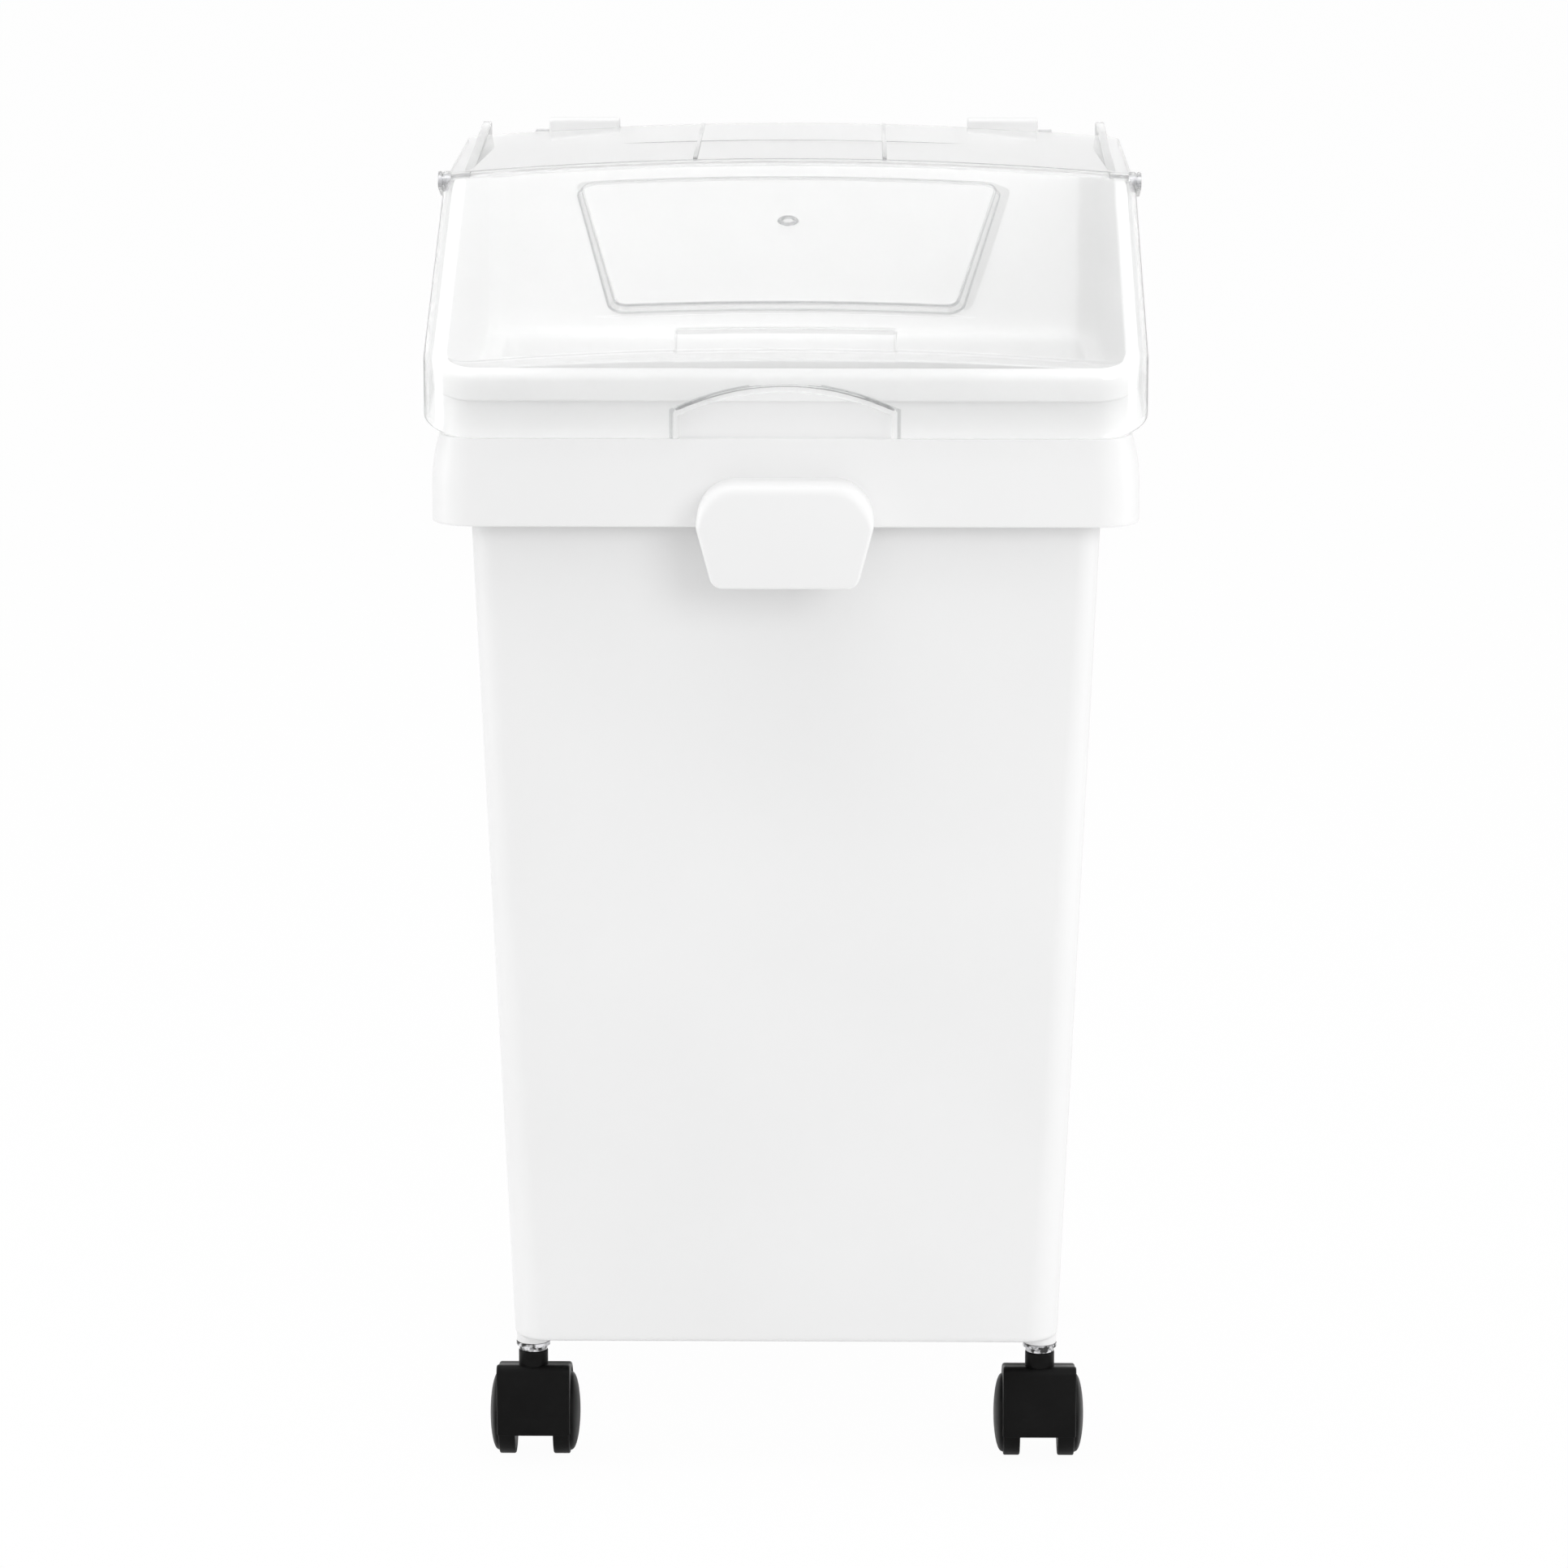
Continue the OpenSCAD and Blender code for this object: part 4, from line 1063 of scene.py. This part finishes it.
def cover_corner(side):
    """The bit of plate that fills in beside the lid's tail."""
    y0 = PIVOT.y + EAR_R + RUN_GAP
    inner, outer = TAIL_X + RUN_GAP, LID_X - LID_T - RUN_GAP
    verts = []
    for up in (-LID_T, 0):
        for y in (y0, COVER_FRONT_Y + 1):
            verts += [(side * x, y, cover_height(x) + up)
                      for x in (inner, lerp(inner, outer, 0.5), outer)]
    faces = []
    for j in range(2):
        faces += [(j, j + 1, 4 + j, 3 + j), (6 + j, 9 + j, 10 + j, 7 + j),
                  (j, 6 + j, 7 + j, j + 1), (3 + j, 4 + j, 10 + j, 9 + j)]
    faces += [(0, 3, 9, 6), (2, 8, 11, 5)]
    obj = mesh_object("cover_corner", verts, faces)
    bevel(obj, 0.5, 2, 50)
    return obj


def side_skirt(side):
    x0, x1 = sorted((side * (COVER_X - LID_T), side * COVER_X))
    top = RIM_Z + LID_UP - 1
    obj = box_prism("side_skirt", x0, x1, COVER_SKIRT_FROM, COVER_SKIRT_TO,
                    COVER_SKIRT_Z, top)
    return bevel(obj, 0.7, 2, 50)


def back_wall():
    """The low wall that closes the crown's gap over the back rim."""
    xs = [lerp(-BACK_WALL_HALF, BACK_WALL_HALF, k / 40) for k in range(41)]
    front, back, low = RIM_Y - LID_T, RIM_Y - 0.02, RIM_Z + SEAT_GAP
    verts = [(x, y, low) for y in (front, back) for x in xs]
    verts += [(x, y, cover_height(x) - 1.7) for y in (back, front) for x in xs]
    n = len(xs)
    faces = strip_faces(4, n)
    faces += [(3 * n + j, 3 * n + j + 1, j + 1, j) for j in range(n - 1)]
    faces += [(0, n, 2 * n, 3 * n), (n - 1, 4 * n - 1, 3 * n - 1, 2 * n - 1)]
    return mesh_object("back_wall", verts, faces)


FIN_SPAN, FIN_T, FIN_H = 377.0, 5.5, 10.0
RIB_SPAN, RIB_W, RIB_H = 111.0, 2.5, 1.2


def fin(side):
    y0, y1 = COVER_SKIRT_FROM + 2, RIM_Y - 1
    low, top = RIM_Z + LID_UP - 1.2, RIM_Z + LID_UP
    outline = rounded_outline(
        [(y0, low), (y1, low), (y1, top + FIN_H), (y1 - FIN_T, top + FIN_H), (y0, top + 1)],
        [0, 0, FIN_T / 2, FIN_T / 2, 0], 6)
    x = side * FIN_SPAN / 2
    obj = prism("fin", outline, x - FIN_T / 2, x + FIN_T / 2, "x")
    return bevel(obj, 1.3, 4, 50)


def rib(side):
    x = side * RIB_SPAN / 2
    z = cover_height(x)
    obj = box_prism("rib", x - RIB_W / 2, x + RIB_W / 2, COVER_FRONT_Y + 4, RIM_Y - 8,
                    z - 1.0, z + RIB_H)
    return bevel(obj, 0.5, 2, 50)


KNUCKLE_R, KNUCKLE_W = 5.0, 8.0


def knuckle(side, end):
    x = side * BLOCK_SPAN / 2 + end * (BLOCK_W / 2 + RUN_GAP + KNUCKLE_W / 2)
    root = RIM_Y - 7
    low = RIM_Z + SEAT_GAP + 0.2
    top = cover_height(x) - 1.0
    turn = [math.pi / 2 - math.pi * 1.15 * k / 14 for k in range(15)]
    outline = [(root, low), (RIM_Y + 1, low), (HINGE.y - 2.5, HINGE.z - 3.6)]
    outline += [(HINGE.y + KNUCKLE_R * math.cos(t), HINGE.z + KNUCKLE_R * math.sin(t))
                for t in reversed(turn)]
    outline.append((root, top))
    obj = prism("knuckle", outline, x - KNUCKLE_W / 2, x + KNUCKLE_W / 2, "x")
    return bevel(obj, 0.5, 2, 50)


def cover_ear(side):
    """The ear beside the lid's pivot and the step that joins it to the side skirt."""
    low, top = PIVOT.z - 2 * EAR_R, RIM_Z + LID_UP - LID_T / 2
    end = COVER_SKIRT_FROM + 8
    turn = [math.pi / 2 + math.pi * k / 16 for k in range(17)]
    outline = [(PIVOT.y + EAR_R * math.cos(t), PIVOT.z + EAR_R * math.sin(t)) for t in turn]
    outline += [(COVER_SKIRT_FROM, low), (end, low), (end, top), (COVER_SKIRT_FROM - 8, top)]
    inner, outer = side * (LID_X + RUN_GAP), side * (LID_X + RUN_GAP + EAR_T)
    x0, x1 = sorted((inner, outer))
    ear = bevel(prism("ear", outline, x0, x1, "x"), 0.7, 3, 50)
    x0, x1 = sorted((side * (COVER_X - LID_T), outer))
    step = box_prism("step", x0, x1, COVER_SKIRT_FROM, end, low, top)
    return [ear, bevel(step, 0.6, 2, 50)]


def make_rear_cover():
    plate = cover_plate()
    wall = back_wall()
    for obj in (plate, wall):
        cut(obj, *notch_tools())
    bevel(plate, 0.4, 2, 60)
    pieces = {"cover_plate": plate, "cover_back_wall": bevel(wall, 0.4, 2, 60)}
    for side, hand in ((-1, "left"), (1, "right")):
        pieces[hand + "_cover_corner"] = cover_corner(side)
        pieces[hand + "_cover_skirt"] = side_skirt(side)
        pieces[hand + "_cover_fin"] = fin(side)
        pieces[hand + "_cover_rib"] = rib(side)
        pieces[hand + "_cover_ear"] = join("ear", cover_ear(side))
        pieces[hand + "_outer_knuckle"] = knuckle(side, side)
        pieces[hand + "_inner_knuckle"] = knuckle(side, -side)
    for name, obj in pieces.items():
        obj.name = name
        finish_piece(smooth(obj, 35), CLEAR, "rear_cover", "clear_lid", "rear_cover")


make_rear_cover()

# ---- Casters ----

AXLE_Z, TRAIL = 25.0, 18.0
HOOD_R, HOOD_T, HOOD_W = 28.8, 3.2, 42.5
SHOULDER_OUT, SHOULDER_UP, SHOULDER_R = 28.5, 36.5, 4.5
WEB_W, WEB_IN = 21.0, 0.4           # the web's edge lies just inside the hood's
WEB_FRONT = ((17, 3), (9, -7))      # the web's lower front, from the axle
NECK_R, NECK_TOP = 8.5, 68.5
WHEEL_R, WHEEL_W, TREAD_W = 25.0, 15.3, 9.5
WHEEL_HOLE_R, WHEEL_STEP, WHEEL_EDGE = 3.2, 2.2, 1.0
WHEEL_IN = WEB_W / 2 + RUN_GAP


def hood_reach(a):
    """Distance from the axle to the hood's outside in the direction a."""
    u, v = math.cos(a), math.sin(a)
    if u >= 0 or v <= 0:
        return HOOD_R
    lean = (SHOULDER_UP - HOOD_R) / SHOULDER_OUT
    level = math.hypot(1, lean)
    y = SHOULDER_R - SHOULDER_OUT
    z = HOOD_R - lean * y - SHOULDER_R * level
    reach = SHOULDER_OUT / -u
    if v + lean * u > 0:
        reach = min(reach, HOOD_R / (v + lean * u))
    if v * reach > z and u * reach < y + SHOULDER_R * lean / level:
        along = y * u + z * v
        reach = along + math.sqrt(max(SHOULDER_R ** 2 - y * y - z * z + along * along, 0))
    return max(HOOD_R, reach)


HOOD_FROM, HOOD_TO = math.radians(194), math.radians(26.5)
HOOD_ANGLES = [lerp(HOOD_FROM, HOOD_TO, k / 110) for k in range(111)]


def hood(at):
    """The hood over the wheels, a rounded bar swept about the axle."""
    half, inner = HOOD_W / 2, HOOD_R - HOOD_T
    verts = []
    for a in HOOD_ANGLES:
        outer = hood_reach(a)
        section = rounded_outline([(-half, inner), (half, inner), (half, outer),
                                   (-half, outer)], [0.5, 0.5, 1.5, 1.5], 4)
        verts += [(at[0] + x, at[1] + r * math.cos(a), at[2] + r * math.sin(a))
                  for x, r in section]
    faces = tube_faces(len(HOOD_ANGLES), len(section))
    return smooth(bevel(mesh_object("hood", verts, faces), 0.6, 2, 60), 40)


def web(at):
    """The plate between the two wheels."""
    outline = [(at[1] + (hood_reach(a) - WEB_IN) * math.cos(a),
                at[2] + (hood_reach(a) - WEB_IN) * math.sin(a)) for a in HOOD_ANGLES]
    outline += [(at[1] + y, at[2] + z) for y, z in WEB_FRONT]
    obj = prism("web", outline, at[0] - WEB_W / 2, at[0] + WEB_W / 2, "x")
    return smooth(bevel(obj, 0.8, 3, 40), 40)


def neck(x, y):
    profile = round_line([(0.01, AXLE_Z + 20), (NECK_R, AXLE_Z + 20), (NECK_R, NECK_TOP),
                          (6.0, NECK_TOP), (5.6, NECK_TOP - 2), (0.01, NECK_TOP - 2)],
                         [0, 0, 1.0, 0.5, 0, 0])
    return smooth(lathe("neck", profile, (x, y, 0)), 40)


def wheel(at, side):
    """A wheel whose tread runs beside the web and whose outer face is domed."""
    step_r = WHEEL_R - WHEEL_STEP
    dome_from = TREAD_W + WHEEL_EDGE
    dome_h = WHEEL_W - TREAD_W - WHEEL_EDGE
    line = [(WHEEL_HOLE_R, 0), (WHEEL_R - 3, 0), (WHEEL_R, 0), (WHEEL_R, TREAD_W),
            (step_r + 0.4, TREAD_W + 0.2), (step_r + 0.1, dome_from)]
    profile = round_line(line, [0, 0, 1.2, 1.0, 0.3, 0])
    for k in range(1, 17):
        t = math.pi / 2 * k / 16
        profile.append((max(step_r * math.cos(t), 0.01), dome_from + dome_h * math.sin(t)))
    profile = [(r, side * (WHEEL_IN + h)) for r, h in profile]
    return smooth(lathe("wheel", profile, at, "x", 96), 35)


def make_casters():
    for corner, (sx, sy) in CORNERS.items():
        x, y = stem_at(sx, sy)
        at = (x, y + TRAIL, AXLE_Z)
        body, node = corner + "_caster", corner + "_caster_frame"
        for part, obj in (("hood", hood(at)), ("web", web(at)), ("neck", neck(x, y))):
            obj.name = f"{corner}_{part}"
            finish_piece(obj, CASTER_BLACK, body, "caster_black", node)
        for place, side in (("outer", sx), ("inner", -sx)):
            name = f"{corner}_{place}_wheel"
            obj = wheel(at, side)
            obj.name = name + "_tyre"
            finish_piece(obj, WHEEL_BLACK, name, "wheel_black", name)


make_casters()

# ---- CAD nodes that stay ----


def repaint():
    for name, obj in frame["nodes"].items():
        if any(word in name for word in ("stem", "pin", "axle", "washer")):
            bright = "washer" in name or name.endswith("caster_stem")
            obj.data.materials.clear()
            obj.data.materials.append(CHROME if bright else STEEL)


repaint()

# ---- Stage and light ----


def seen_white(tree, reflected):
    """One for rays from the camera or through glass, the share reflected for rays by way
    of a shiny surface, else zero."""
    path = add_node(tree, "ShaderNodeLightPath")
    total = math_node(tree, "MULTIPLY", path.outputs["Is Glossy Ray"], reflected)
    for ray in ("Is Camera Ray", "Is Transmission Ray"):
        total = math_node(tree, "MAXIMUM", total, path.outputs[ray])
    return total


FLOOR_HALF = 12000.0
FLOOR_GLOW = 0.97                   # share of plain white in the floor that is seen
FLOOR_REFLECTED, WORLD_REFLECTED = 0.25, 0.9


def floor_white():
    """A matt white floor whose own shading, the shadow with it, shows faintly."""
    mat, tree, bsdf = new_material("floor_white", (0.9, 0.9, 0.9), 0.9)
    glow = add_node(tree, "ShaderNodeEmission", {"Strength": 1.0})
    share = math_node(tree, "MULTIPLY", seen_white(tree, FLOOR_REFLECTED), FLOOR_GLOW)
    mix_shaders(tree, share, bsdf.outputs["BSDF"], glow.outputs["Emission"])
    return mat


def make_floor():
    corners = [(x * FLOOR_HALF, y * FLOOR_HALF, 0)
               for x, y in ((-1, -1), (1, -1), (1, 1), (-1, 1))]
    floor = mesh_object("floor", corners, [(0, 1, 2, 3)])
    floor.data.materials.append(floor_white())


def area_light(name, at, to, size, watts):
    data = bpy.data.lights.new(name, "AREA")
    data.shape = "RECTANGLE"
    data.size, data.size_y = size
    data.energy = watts
    lamp = bpy.data.objects.new(name, data)
    bpy.context.scene.collection.objects.link(lamp)
    lamp.location = at
    lamp.rotation_euler = (Vector(to) - Vector(at)).to_track_quat("-Z", "Y").to_euler()


def make_world(strength):
    world = bpy.data.worlds.new("studio")
    world.use_nodes = True
    tree = world.node_tree
    background = tree.nodes["Background"]
    background.inputs["Color"].default_value = (1, 1, 1, 1)
    level = add_node(tree, "ShaderNodeMapRange", {"To Min": strength, "To Max": 1.0})
    tree.links.new(seen_white(tree, WORLD_REFLECTED), level.inputs["Value"])
    tree.links.new(level.outputs["Result"], background.inputs["Strength"])
    bpy.context.scene.world = world


make_floor()
make_world(0.67)
area_light("key", (1.55, -3.0, 1.7), (0, 0, 0.4), (1.4, 1.4), 20)
area_light("top", (-0.2, -0.5, 3.2), (0, 0, 0.6), (2.6, 2.2), 24)
area_light("left", (-2.6, -0.3, 0.9), (0, 0, 0.4), (1.0, 1.6), 16)
area_light("right", (2.6, -0.3, 0.9), (0, 0, 0.4), (1.0, 1.6), 12)
area_light("softbox", (-0.14, 2.0, 3.3), (0, 0, 0.7), (1.32, 1.0), 3.7)
bpy.context.scene.view_settings.view_transform = "Standard"
